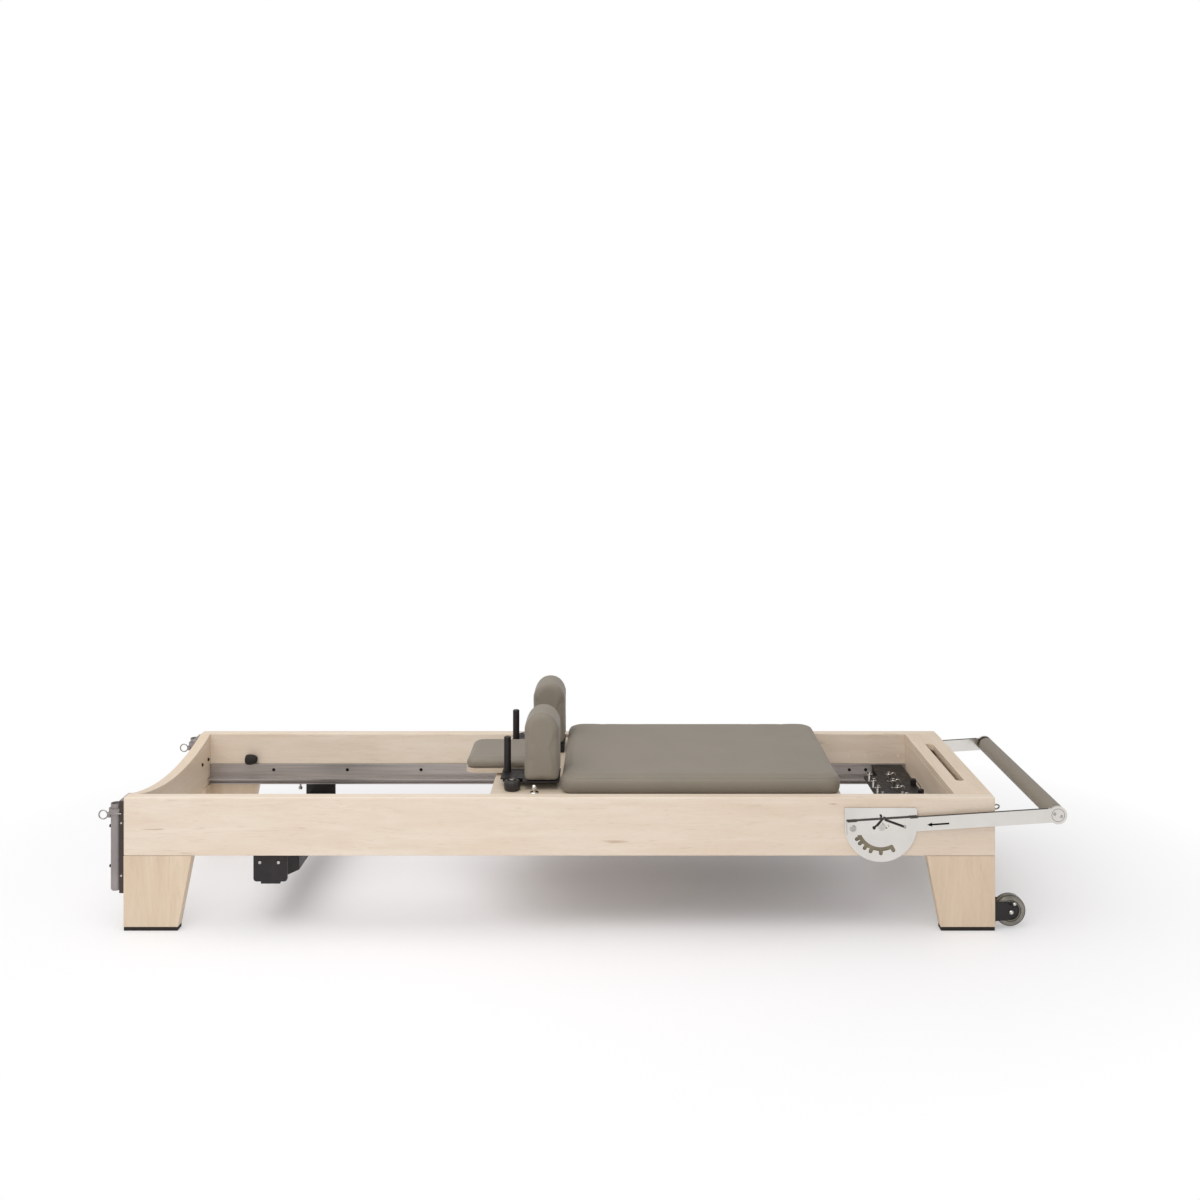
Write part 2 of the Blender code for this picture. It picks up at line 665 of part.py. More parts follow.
# Rubber travel stops at the head end of the tracks
stop_half = TRAVEL_STOP_LONG / 2
rim, dent = TRAVEL_STOP_R, TRAVEL_STOP_R - TRAVEL_STOP_GROOVE
ribs = [(0, stop_half), (rim - 0.002, stop_half), (rim, stop_half - 0.002)]
for i in (1, 0, -1):
    middle = i * TRAVEL_STOP_LONG / 4
    ribs += [(rim, middle + 0.0025), (dent, middle + 0.0015), (dent, middle - 0.0015), (rim, middle - 0.0025)]
ribs += [(rim, 0.002 - stop_half), (rim - 0.002, -stop_half), (0, -stop_half)]
for side, s in SIDES:
    turned(f"travel_stop_{side}", ribs, "X",
           (TRAVEL_STOP_FACE - stop_half, s * (INNER_Y - GAP - TRAVEL_STOP_R), TRACK_TOP + GAP + TRAVEL_STOP_R),
           "rubber", 16)

# Tower sockets with collar, lug, open bore and their ring pins
for side, s in SIDES:
    y = s * SOCKET_Y
    tube_r, bore_r = SOCKET_R, SOCKET_R - SOCKET_WALL
    tall = SOCKET_TOP - SOCKET_BOTTOM
    low, high = COLLAR_BOTTOM - SOCKET_BOTTOM, COLLAR_TOP - SOCKET_BOTTOM
    shell = [(bore_r, tall), (tube_r, tall), (tube_r, high), (COLLAR_R, high), (COLLAR_R, low), (tube_r, low),
             (tube_r, 0.005), (tube_r - 0.002, 0.001), (tube_r - 0.005, 0), (0, 0)]
    shell = [(0, SOCKET_FLOOR), (bore_r, SOCKET_FLOOR)] + shell
    socket = turned(f"tower_socket_{side}", shell, "Z", (SOCKET_X, y, SOCKET_BOTTOM), "grey", 24)
    plate_ys = sorted((s * SOCKET_PLATE_INNER, s * SOCKET_PLATE_OUTER))
    back = plate(f"socket_plate_{side}",
                 [rounded(*plate_ys, SOCKET_PLATE_BOTTOM, SOCKET_PLATE_TOP, (0.004,) * 4, 3)], "X",
                 -END_X - GAP - SOCKET_PLATE_THICK, -END_X - GAP, None)
    lug = rod(f"socket_lug_{side}", (SOCKET_X - LUG_REACH, y, SOCKET_PIN_Z),
              (SOCKET_X - tube_r + 0.001, y, SOCKET_PIN_Z), LUG_R)
    fuse(socket, back, lug)
    cut(socket, rod(f"socket_pin_hole_{side}", (SOCKET_X - LUG_REACH - 0.005, y, SOCKET_PIN_Z),
                    (SOCKET_X - bore_r + 0.006, y, SOCKET_PIN_Z), SOCKET_PIN_R + 0.0004))
    ring_x = SOCKET_RING_X
    pin = rod(f"socket_pin_{side}", (ring_x + SOCKET_RING_R - 0.0005, y, SOCKET_PIN_Z),
              (SOCKET_X - bore_r + SOCKET_PIN_TIP, y, SOCKET_PIN_Z), SOCKET_PIN_R, "chrome")
    fuse(pin, wire_ring(f"socket_ring_{side}", (ring_x, y, SOCKET_PIN_Z), SOCKET_RING_R, SOCKET_RING_WIRE))


def polar(radius, angle):
    a = math.radians(180 + angle)
    return (PIVOT_X + radius * math.cos(a), PIVOT_Z + radius * math.sin(a))


def gear_slot():
    wide = PIN_R + PIN_PLAY
    inner, outer, deep = GEAR_SLOT_R - wide, GEAR_SLOT_R + wide, GEAR_SLOT_R + GEAR_TRAVEL
    spread = math.degrees(wide / GEAR_SLOT_R)
    first, last = ARM_TILT, ARM_TILT + NOTCH_ANGLES[-1]
    points = [polar(inner, first + (last - first) * i / 20) for i in range(21)]
    cx, cy = polar(GEAR_SLOT_R, last)
    points += arc(cx, cy, wide, last, last - 90, 4)[1:]
    for angle in reversed(NOTCH_ANGLES):
        turn = ARM_TILT + angle
        side = math.degrees(math.asin(wide / outer))
        tip = polar(deep, turn)
        points.append(polar(outer, turn + side))
        points += arc(*tip, wide, 180 + turn + 90, 180 + turn - 90, 6)
        points.append(polar(outer, turn - side))
        if angle:
            before = ARM_TILT + NOTCH_ANGLES[NOTCH_ANGLES.index(angle) - 1]
            steps = max(1, round((turn - before) / 9))
            points += [polar(outer, turn + (before - turn) * (i + 0.5) / steps) for i in range(steps)
                       if spread < (turn - before) * (i + 0.5) / steps < (turn - before) - spread]
    cx, cy = polar(GEAR_SLOT_R, first)
    points += arc(cx, cy, wide, first + 90, first, 4)[:-1]
    return points


# Gear plates with arc slot and notches
gear = arc(PIVOT_X, PIVOT_Z, GEAR_R, 180, 360, 36)
gear += arc(PIVOT_X + GEAR_R - GEAR_CORNER, PIVOT_Z + GEAR_RISE - GEAR_CORNER, GEAR_CORNER, 0, 90, 4)
gear.append((PIVOT_X - GEAR_R, PIVOT_Z + GEAR_RISE))
bolt_hole = arc(PIVOT_X, PIVOT_Z, BOLT_R + BOLT_PLAY, 0, 345, 23)
for side, s in SIDES:
    plate(f"gear_plate_{side}", [gear, bolt_hole, gear_slot()], "Y", s * (FACE_Y + GAP),
          s * (FACE_Y + GAP + GEAR_THICK), "chrome")

# Pivot bolts
for side, s in SIDES:
    head = ARM_FAR + GAP
    tall = head + BOLT_HEAD_TALL - BOLT_TIP
    profile = [(0, tall), (BOLT_HEAD_R - 0.001, tall), (BOLT_HEAD_R, tall - 0.001),
               (BOLT_HEAD_R, head - BOLT_TIP), (BOLT_R, head - BOLT_TIP), (BOLT_R, 0), (0, 0)]
    bolt = turned(f"pivot_bolt_{side}", profile, "Y", (PIVOT_X, s * BOLT_TIP, PIVOT_Z), "chrome", 20)
    bolt.rotation_euler = (-s * math.pi / 2, 0, 0)


def on_arm(along, up):
    c, d = math.cos(TILT), math.sin(TILT)
    return (PIVOT_X + along * c - up * d, PIVOT_Z + along * d + up * c)


# Foot bar arms with slot, locking pin and round grip end
half = ARM_TALL / 2
meet = ARM_LONG - math.sqrt(ARM_END_R ** 2 - half ** 2)
open_angle = math.degrees(math.asin(half / ARM_END_R))
end_disc = arc(ARM_LONG, 0, ARM_END_R, -180 + open_angle, 180 - open_angle, 20)
bar = [(-ARM_HEAD, -half)] + end_disc + [(-ARM_HEAD, half)]
slide_r = BOLT_R + BOLT_PLAY
slide = (arc(-ARM_SLOT_HEAD + slide_r, 0, slide_r, 90, 270, 8)
         + arc(ARM_SLOT_FOOT - slide_r, 0, slide_r, 270, 450, 8))
for side, s in SIDES:
    arm = plate(f"footbar_arm_{side}", [[on_arm(u, v) for u, v in bar], [on_arm(u, v) for u, v in slide]], "Y",
                s * ARM_NEAR, s * ARM_FAR, "chrome", 0, (PIVOT_X, 0, PIVOT_Z))
    px, pz = on_arm(-GEAR_SLOT_R, 0)
    fuse(arm, rod(f"lock_pin_{side}", (px, s * (FACE_Y + 0.0008), pz), (px, s * (ARM_FAR - 0.002), pz), PIN_R))

# Foot bar tube and grip
tube_half = ARM_NEAR - GAP
tube = [(TUBE_R, tube_half), (TUBE_R, -tube_half), (TUBE_R - TUBE_WALL, -tube_half), (TUBE_R - TUBE_WALL, tube_half)]
turned("footbar_tube", tube, "Y", (GRIP_X, 0, GRIP_Z), "grey", 24, True)
grip_half = ARM_NEAR - GRIP_END_GAP
soft = 0.004
grip = [(TUBE_R + GAP, grip_half), (GRIP_R - soft, grip_half), (GRIP_R - 0.001, grip_half - 0.001),
        (GRIP_R, grip_half - soft), (GRIP_R, soft - grip_half), (GRIP_R - 0.001, 0.001 - grip_half),
        (GRIP_R - soft, -grip_half), (TUBE_R + GAP, -grip_half)]
turned("footbar_grip", grip, "Y", (GRIP_X, 0, GRIP_Z), "cover", 28, True)

# Transport brackets with axle pin, and wheels
for side, s in SIDES:
    y = s * WHEEL_Y
    reach = WHEEL_WIDE / 2 + CHEEK_GAP
    base_x = END_X + GAP
    bracket = box(f"transport_bracket_{side}", (base_x, y - reach - CHEEK_THICK - 0.002, CHEEK_BOTTOM - 0.003),
                  (base_x + BRACKET_BACK, y + reach + CHEEK_THICK + 0.002, CHEEK_TOP + 0.003), "black")
    cheek = ([(base_x + 0.0005, CHEEK_BOTTOM), (WHEEL_X - 0.004, CHEEK_BOTTOM + 0.004)]
             + arc(WHEEL_X, WHEEL_Z, CHEEK_R, -75, 75, 10) + [(WHEEL_X - 0.010, CHEEK_TOP - 0.004),
                                                             (base_x + 0.0005, CHEEK_TOP)])
    for t in (-1, 1):
        near = y + t * reach
        fuse(bracket, plate(f"wheel_cheek_{side}_{'inner' if t * s < 0 else 'outer'}", [cheek], "Y", near,
                            near + t * CHEEK_THICK, None))
    fuse(bracket, rod(f"wheel_axle_{side}", (WHEEL_X, y - reach - 0.002, WHEEL_Z),
                      (WHEEL_X, y + reach + 0.002, WHEEL_Z), AXLE_R))
    wide = WHEEL_WIDE / 2
    bore = AXLE_R + AXLE_PLAY
    profile = [(bore, wide), (0.011, wide), (0.012, wide - HUB_SINK), (HUB_R, wide - HUB_SINK),
               (HUB_R + 0.002, wide), (WHEEL_R - 0.006, wide), (WHEEL_R - 0.0015, wide - 0.003),
               (WHEEL_R, wide - 0.008)]
    profile += [(r, -h) for r, h in reversed(profile)]
    turned(f"transport_wheel_{side}", profile, "Y", (WHEEL_X, y, WHEEL_Z), "smoke", 28, True)

# Spring bar with posts and knobs
bar_edge = [(BAR_HEAD_X, -BAR_TAB_Y), (BAR_HEAD_X, BAR_TAB_Y), (BAR_TAB_HEAD_X, BAR_TAB_Y),
            (BAR_TAB_HEAD_X, BAR_REACH), (BAR_FOOT_X, BAR_REACH), (BAR_FOOT_X, -BAR_REACH),
            (BAR_TAB_HEAD_X, -BAR_REACH), (BAR_TAB_HEAD_X, -BAR_TAB_Y)]
bar = plate("spring_bar", [bar_edge], "Z", BAR_TOP - BAR_THICK, BAR_TOP, "black")
for side, s in SIDES:
    fuse(bar, box(f"bar_foot_{side}", (BAR_TAB_HEAD_X + 0.002, s * (BAR_REACH - 0.001), LEDGE_TOP + GAP),
                  (BAR_FOOT_X - 0.002, s * (BAR_REACH - 0.001 - BAR_FOOT_THICK), BAR_TOP - 0.002), None))
post = [(0, POST_TOP), (POST_HEAD_R - 0.002, POST_TOP), (POST_HEAD_R, POST_TOP - 0.002),
        (POST_HEAD_R, POST_TOP - 0.006), (POST_R, POST_TOP - 0.009), (POST_R, BAR_TOP - 0.003),
        (0, BAR_TOP - 0.003)]
for row, x in enumerate((POST_HEAD_X, POST_FOOT_X)):
    for i in range(-2, 3):
        fuse(bar, turned(f"post_{row + 1}_{i + 3}", post, "Z", (x, i * POST_PITCH, 0), None, 8))
knob_top = BAR_TOP + BAR_KNOB_TALL
knob = [(0, knob_top), (BAR_KNOB_R - 0.002, knob_top), (BAR_KNOB_R, knob_top - 0.002),
        (BAR_KNOB_R, BAR_TOP - 0.003), (0, BAR_TOP - 0.003)]
for side, s in SIDES:
    knob_y = BAR_KNOB_MIDDLE_Y + s * BAR_KNOB_APART / 2
    fuse(bar, turned(f"bar_knob_{side}", knob, "Z", (BAR_KNOB_X, knob_y, 0), None, 12))

# Carriage deck
deck = plate("carriage_deck",
             [rounded(DECK_HEAD, DECK_FOOT, -DECK_HALF, DECK_HALF,
                      (DECK_CORNER, 0.004, 0.004, DECK_CORNER))], "Z", DECK_BOTTOM, DECK_TOP, "maple", 0.0015)
plunger_tip = DECK_TOP - PLUNGER_SINK
cut(deck, rods("plunger_holes", [((PLUNGER_X, s * PLUNGER_Y, plunger_tip - 0.001),
                                  (PLUNGER_X, s * PLUNGER_Y, DECK_TOP + 0.005)) for _, s in SIDES],
               PLUNGER_R + 0.0004, 16))


def cushion(name, shape, levels, origin=(0, 0, 0)):
    rings = [[(x, y, z) for x, y in shape(inset)] for z, inset in levels]
    return add(name, loft_bm(rings), "cover", origin)


def pad_outline(inset):
    r = PAD_CORNER - inset
    return rounded(PAD_HEAD + inset, PAD_FOOT - inset, inset - PAD_HALF, PAD_HALF - inset, (r,) * 4, 8)


def headrest_outline(inset):
    r, t = HEADREST_CORNER - inset, 0.012 - inset * 0.3
    return rounded(HEADREST_HEAD + inset, HEADREST_FOOT - inset, inset - HEADREST_HALF, HEADREST_HALF - inset,
                   (r, t, t, r), 8)


# Main cushion with sides drawn in to the deck and a crowned top
pad_bottom = DECK_TOP + GAP
pad_edge = PAD_TOP - PAD_CROWN
cushion("carriage_pad", pad_outline,
        [(pad_bottom, 0.005), (pad_bottom + 0.003, 0.002), (pad_bottom + 0.010, 0.0005), (pad_bottom + 0.024, 0),
         (pad_edge - 0.013, 0.0008), (pad_edge - 0.007, 0.003), (pad_edge - 0.003, 0.007), (pad_edge, 0.013),
         (pad_edge + PAD_CROWN * 0.45, 0.028), (PAD_TOP - PAD_CROWN * 0.1, 0.038), (PAD_TOP, 0.041)])

# Headrest board with hinge barrel and rest battens, and its cushion
hinge_z = DECK_TOP + GAP + HINGE_R
pivot = (HINGE_X, 0, hinge_z)
board_low = DECK_TOP + HEADREST_RISE
board_high = board_low + HEADREST_BOARD_THICK
board = plate("headrest_board",
              [rounded(HEADREST_HEAD + 0.004, HEADREST_FOOT, 0.004 - HEADREST_HALF, HEADREST_HALF - 0.004,
                       (HEADREST_CORNER, 0.002, 0.002, HEADREST_CORNER))], "Z",
              board_low, board_high, "maple", 0, pivot)
fuse(board, rod("headrest_barrel", (HINGE_X, 0.008 - HEADREST_HALF, hinge_z),
                (HINGE_X, HEADREST_HALF - 0.008, hinge_z), HINGE_R, None, 16),
     box("headrest_batten", (BATTEN_HEAD, -BATTEN_HALF, DECK_TOP + GAP),
         (BATTEN_HEAD + BATTEN_WIDE, BATTEN_HALF, board_low + 0.002), None))
low = board_high + GAP
top = low + HEADREST_PAD_TALL
cushion("headrest_pad", headrest_outline,
        [(low, 0.005), (low + 0.003, 0.0015), (low + 0.010, 0), (top - 0.013, 0.001), (top - 0.008, 0.004),
         (top - 0.005, 0.009), (top - 0.003, 0.016), (top, 0.026)], pivot)

# Side irons with flange, roller stubs and stop tab
for side, s in SIDES:
    near, far = s * (IRON_Y - IRON_THICK / 2), s * (IRON_Y + IRON_THICK / 2)
    iron = box(f"side_iron_{side}", (IRON_HEAD, near, LEDGE_TOP + IRON_RISE), (FOOT_STOP_X - GAP, far, DECK_BOTTOM - GAP),
               "black")
    fuse(iron, box(f"iron_flange_{side}", (IRON_HEAD + 0.001, s * (IRON_Y - IRON_FLANGE), DECK_BOTTOM - 0.004),
                   (FOOT_STOP_X - 0.002, s * IRON_Y, DECK_BOTTOM - 0.0006), None))
    fuse(iron, box(f"stop_tab_{side}", (IRON_HEAD - TAB_THICK, s * (IRON_Y - 0.001), TRACK_TOP + TAB_RISE),
                   (IRON_HEAD + 0.001, s * TAB_Y, TRACK_TOP + TAB_RISE + TAB_TALL), None))
    for x in ROLLER_XS:
        fuse(iron, rod(f"roller_stub_{side}_{round(x * 1000)}", (x, s * IRON_Y, LEDGE_TOP + ROLLER_R),
                       (x, s * STUB_END, LEDGE_TOP + ROLLER_R), STUB_R))

# Carriage rollers
wide = ROLLER_WIDE / 2
profile = [(STUB_R + GAP, wide), (ROLLER_R - 0.003, wide), (ROLLER_R - GAP, wide - 0.003)]
profile += [(r, -h) for r, h in reversed(profile)]
for side, s in SIDES:
    for end, x in zip(("head", "foot"), ROLLER_XS):
        turned(f"roller_{end}_{side}", profile, "Y", (x, s * (ROLLER_INNER + wide), LEDGE_TOP + ROLLER_R),
               "black", 24, True)

# Spring carrier under the deck
springs = [i * SPRING_PITCH for i in range(-2, 3)]
carrier = box("spring_carrier", (CARRIER_HEAD, -CARRIER_HALF, DECK_BOTTOM - 0.0033),
              (CARRIER_FOOT + CARRIER_WALL, CARRIER_HALF, DECK_BOTTOM - GAP), "black")
for end, x in (("head", CARRIER_HEAD), ("foot", CARRIER_FOOT)):
    fuse(carrier, box(f"carrier_wall_{end}", (x + 0.0001, 0.001 - CARRIER_HALF, DECK_BOTTOM - CARRIER_TALL),
                      (x + CARRIER_WALL - 0.0001, CARRIER_HALF - 0.001, DECK_BOTTOM - 0.002), None))
cut(carrier, rods("spring_holes", [((x - 0.004, y, SPRING_Z), (x + CARRIER_WALL + 0.004, y, SPRING_Z))
                                   for x in (CARRIER_HEAD, CARRIER_FOOT) for y in springs], CARRIER_HOLE_R))

# Extension springs with their end eyes
eye_foot = CARRIER_FOOT + CARRIER_WALL
profile = [(0, eye_foot + 0.008), (SPRING_EYE_HEAD_R, eye_foot + 0.007), (SPRING_EYE_HEAD_R, eye_foot + 0.002),
           (SPRING_EYE_R, eye_foot + 0.001), (SPRING_EYE_R, SPRING_FOOT + 0.004), (SPRING_R, SPRING_FOOT),
           (SPRING_R, SPRING_HEAD), (SPRING_EYE_R, SPRING_HEAD - 0.004), (SPRING_EYE_R, CARRIER_HEAD - 0.001),
           (SPRING_EYE_HEAD_R, CARRIER_HEAD - 0.002), (SPRING_EYE_HEAD_R, CARRIER_HEAD - 0.007),
           (0, CARRIER_HEAD - 0.008)]
for number, y in enumerate(springs, 1):
    turned(f"spring_{number}", profile, "X", (0, y, SPRING_Z), "grey", 14)

# Shoulder rests on their raised bases with rope peg, clamp knobs and plungers
for side, s in SIDES:
    outline = [(BASE_HEAD, s * REST_INNER), (REST_FOOT, s * REST_INNER), (REST_FOOT, s * BASE_OUTER),
               (BASE_STEP, s * BASE_OUTER), (BASE_STEP, s * BASE_NECK), (BASE_HEAD, s * BASE_NECK)]
    base = plate(f"shoulder_base_{side}", [outline], "Z", BASE_TOP - BASE_THICK, BASE_TOP, "black")
    foot = box(f"base_foot_{side}", (BASE_HEAD + 0.002, s * (REST_INNER + 0.002), DECK_TOP + GAP),
               (REST_FOOT - 0.002, s * BASE_FOOT_OUTER, BASE_TOP - BASE_THICK / 2), None)
    peg_top = DECK_TOP + PEG_TALL
    peg = [(0, peg_top), (PEG_R - 0.002, peg_top), (PEG_R, peg_top - 0.002), (PEG_R, BASE_TOP - 0.002),
           (0, BASE_TOP - 0.002)]
    fuse(base, foot, turned(f"rope_peg_{side}", peg, "Z", (PEG_X, s * PEG_Y, 0), None, 20))
    middle, thick, arch = (REST_HEAD + REST_FOOT) / 2, (REST_FOOT - REST_HEAD) / 2, []
    for y, inset in ((REST_INNER, 0.012), (REST_INNER + 0.003, 0.004), (REST_INNER + 0.010, 0),
                     (REST_OUTER - 0.010, 0), (REST_OUTER - 0.003, 0.004), (REST_OUTER, 0.012)):
        r = thick - inset
        top = arc(middle, REST_TOP - thick, r, 0, 180, 14)
        low = BASE_TOP + GAP + inset * 0.5
        ring = [(middle - r + 0.003, low), (middle + r - 0.003, low), (middle + r, low + 0.004)] + top
        ring.append((middle - r, low + 0.004))
        arch.append([(x, s * y, z) for x, z in ring])
    add(f"shoulder_pad_{side}", loft_bm(arch), "cover")
    grip = [(0, KNOB_TALL), (KNOB_R - 0.006, KNOB_TALL), (KNOB_R - 0.001, KNOB_TALL - 0.004),
            (KNOB_R, KNOB_TALL - 0.010), (KNOB_R - 0.001, 0.006), (KNOB_R - 0.007, GAP), (0, GAP)]
    turned(f"clamp_knob_{side}", grip, "Z", (KNOB_X, s * KNOB_Y, DECK_TOP), "black", 20)
    high = DECK_TOP + PLUNGER_TALL
    stem = [(0, high - 0.003), (PLUNGER_BODY_R - 0.001, high - 0.003), (PLUNGER_BODY_R, high - 0.005),
            (PLUNGER_BODY_R, DECK_TOP + GAP), (PLUNGER_R, DECK_TOP + GAP), (PLUNGER_R, plunger_tip),
            (0, plunger_tip)]
    plunger = turned(f"rest_plunger_{side}", stem, "Z", (PLUNGER_X, s * PLUNGER_Y, 0), "chrome", 16)
    fuse(plunger, rod(f"plunger_bar_{side}", (PLUNGER_X - PLUNGER_BAR / 2, s * PLUNGER_Y, high - 0.004),
                      (PLUNGER_X + PLUNGER_BAR / 2, s * PLUNGER_Y, high - 0.004), 0.0035, None, 10))
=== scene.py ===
import math

import bmesh
import bpy
from mathutils import Matrix, Vector
from mathutils.bvhtree import BVHTree


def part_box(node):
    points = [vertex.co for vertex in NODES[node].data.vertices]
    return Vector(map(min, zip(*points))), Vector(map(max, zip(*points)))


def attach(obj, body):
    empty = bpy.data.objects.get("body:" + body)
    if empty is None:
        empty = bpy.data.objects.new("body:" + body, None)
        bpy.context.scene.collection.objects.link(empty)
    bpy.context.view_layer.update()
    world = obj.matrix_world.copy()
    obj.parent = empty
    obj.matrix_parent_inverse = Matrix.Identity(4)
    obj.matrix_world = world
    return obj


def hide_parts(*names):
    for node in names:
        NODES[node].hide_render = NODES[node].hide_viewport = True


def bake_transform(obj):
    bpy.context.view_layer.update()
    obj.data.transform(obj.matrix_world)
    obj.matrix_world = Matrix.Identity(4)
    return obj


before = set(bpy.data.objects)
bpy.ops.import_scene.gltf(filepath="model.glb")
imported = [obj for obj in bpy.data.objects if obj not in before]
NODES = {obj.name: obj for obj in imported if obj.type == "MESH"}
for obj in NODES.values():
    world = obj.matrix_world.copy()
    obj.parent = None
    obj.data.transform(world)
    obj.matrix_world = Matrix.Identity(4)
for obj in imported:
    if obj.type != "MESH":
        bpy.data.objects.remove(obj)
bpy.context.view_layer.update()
SIDES = (("front", -1), ("back", 1))

# Places read from the frame
RAIL_LO, RAIL_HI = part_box("rail_front")
MID_X = (RAIL_LO.x + RAIL_HI.x) / 2
FACE_Y = -RAIL_LO.y
INNER_Y = -RAIL_HI.y
RAIL_BOTTOM = RAIL_LO.z
TRACK_BACK_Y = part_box("track_back")[1].y
DECK_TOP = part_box("carriage_deck")[1].z
ARM_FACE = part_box("footbar_arm_back")[1].y


def middle(node):
    low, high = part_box(node)
    return (low + high) / 2


PIVOT = middle("pivot_bolt_back")
GRIP = middle("footbar_grip")
ARM_TILT = math.atan2(GRIP.z - PIVOT.z, GRIP.x - PIVOT.x)


def on_arm(along, up, y):
    """A point on the foot bar arm, from the pivot along the arm and square to it."""
    c, s = math.cos(ARM_TILT), math.sin(ARM_TILT)
    return Vector((PIVOT.x + along * c - up * s, y, PIVOT.z + along * s + up * c))


def linear(red, green, blue):
    """A colour seen on a screen, 0 to 255, as the linear values that a shader takes."""
    def channel(value):
        value /= 255
        return value / 12.92 if value <= 0.04045 else ((value + 0.055) / 1.055) ** 2.4
    return (channel(red), channel(green), channel(blue), 1)


# Materials

def new_material(name):
    """A material with its nodes, its links and its main shader."""
    mat = bpy.data.materials.new(name)
    mat.use_nodes = True
    nodes = mat.node_tree.nodes
    return mat, nodes, mat.node_tree.links, nodes["Principled BSDF"]


def coords(nodes, links, scale=(1, 1, 1), location=(0, 0, 0)):
    """Object coordinates, scaled and moved."""
    where = nodes.new("ShaderNodeTexCoord")
    mapping = nodes.new("ShaderNodeMapping")
    mapping.inputs["Scale"].default_value = scale
    mapping.inputs["Location"].default_value = location
    links.new(where.outputs["Object"], mapping.inputs["Vector"])
    return mapping.outputs["Vector"]


def noise(nodes, links, vector, scale, detail, rough=0.55, distortion=0.0):
    tex = nodes.new("ShaderNodeTexNoise")
    tex.inputs["Scale"].default_value = scale
    tex.inputs["Detail"].default_value = detail
    tex.inputs["Roughness"].default_value = rough
    tex.inputs["Distortion"].default_value = distortion
    links.new(vector, tex.inputs["Vector"])
    return tex.outputs["Fac"]


def ramp(nodes, links, value, stops):
    """A colour ramp with stops of (place, colour)."""
    node = nodes.new("ShaderNodeValToRGB")
    elements = node.color_ramp.elements
    while len(elements) < len(stops):
        elements.new(0.5)
    for element, (place, colour) in zip(elements, stops):
        element.position = place
        element.color = colour
    links.new(value, node.inputs["Fac"])
    return node.outputs["Color"]


def mix(nodes, links, factor, under, over):
    """A colour from another node, mixed by a factor with a plain one."""
    node = nodes.new("ShaderNodeMix")
    node.data_type = "RGBA"
    sockets = {socket.identifier: socket for socket in node.inputs}
    links.new(factor, sockets["Factor_Float"])
    links.new(under, sockets["A_Color"])
    sockets["B_Color"].default_value = over
    return next(o for o in node.outputs if o.identifier == "Result_Color")


def scaled(nodes, links, value, low, high, new_low, new_high):
    """A value between low and high, brought to between new_low and new_high."""
    node = nodes.new("ShaderNodeMapRange")
    for name, number in (("From Min", low), ("From Max", high), ("To Min", new_low), ("To Max", new_high)):
        node.inputs[name].default_value = number
    links.new(value, node.inputs["Value"])
    return node.outputs["Result"]


def bump(nodes, links, shader, height, strength, distance):
    node = nodes.new("ShaderNodeBump")
    node.inputs["Strength"].default_value = strength
    node.inputs["Distance"].default_value = distance
    links.new(height, node.inputs["Height"])
    links.new(node.outputs["Normal"], shader.inputs["Normal"])


GRAIN = {"X": (1.0, 8.0, 8.0), "Y": (8.0, 1.0, 8.0), "Z": (8.0, 8.0, 1.0)}


def maple(name, along, pale=(227, 213, 196), deep=(217, 199, 178), warm=(224, 203, 184), offset=0.0):
    """Pale maple with its grain along one axis: slow figure, fine lines, mottle and a few dark flecks."""
    mat, nodes, links, shader = new_material(name)
    vector = coords(nodes, links, GRAIN[along], (offset, offset * 0.7, offset * 1.3))
    figure = noise(nodes, links, vector, 2.6, 6, 0.62, 0.9)
    fine = noise(nodes, links, vector, 34.0, 3, 0.7, 0.3)
    cloud = noise(nodes, links, coords(nodes, links), 2.3, 2, 0.5)
    mottle = noise(nodes, links, vector, 11.0, 4, 0.65, 1.6)
    knot = noise(nodes, links, vector, 5.2, 2, 0.4, 0.6)
    line_tone = [c * 0.86 for c in deep]
    colour = ramp(nodes, links, figure, [(0.36, linear(*pale)), (0.68, linear(*deep))])
    for value, low, high, most, tone in ((cloud, 0.42, 0.68, 0.4, warm), (fine, 0.52, 0.78, 0.20, line_tone),
                                         (mottle, 0.57, 0.74, 0.34, (186, 160, 130)),
                                         (knot, 0.745, 0.80, 0.5, (168, 134, 102))):
        colour = mix(nodes, links, scaled(nodes, links, value, low, high, 0.0, most), colour, linear(*tone))
    links.new(colour, shader.inputs["Base Color"])
    shader.inputs["Roughness"].default_value = 0.45
    shader.inputs["Coat Weight"].default_value = 0.08
    shader.inputs["Coat Roughness"].default_value = 0.3
    bump(nodes, links, shader, fine, 0.05, 0.0003)
    return mat


def cloudy(nodes, links, value, colour, darker, lighter):
    """A colour that wanders with a value between a darker and a lighter share of itself."""
    dark, light = [[min(255, c * share) for c in colour] for share in (darker, lighter)]
    return ramp(nodes, links, value, [(0.35, linear(*dark)), (0.7, linear(*light))])


TAUPE = (129, 120, 107)
PEBBLES = 1100.0


def upholstery():
    """Matt coated cloth with a fine pebbled grain."""
    mat, nodes, links, shader = new_material("cover_taupe")
    vector = coords(nodes, links)
    pebble = nodes.new("ShaderNodeTexVoronoi")
    pebble.inputs["Scale"].default_value = PEBBLES
    links.new(vector, pebble.inputs["Vector"])
    slow = noise(nodes, links, vector, 7.0, 3)
    links.new(cloudy(nodes, links, slow, TAUPE, 0.985, 1.015), shader.inputs["Base Color"])
    shader.inputs["Roughness"].default_value = 0.58
    shader.inputs["Sheen Weight"].default_value = 0.12
    shader.inputs["Sheen Roughness"].default_value = 0.5
    bump(nodes, links, shader, pebble.outputs["Distance"], 0.12, 0.0006)
    return mat


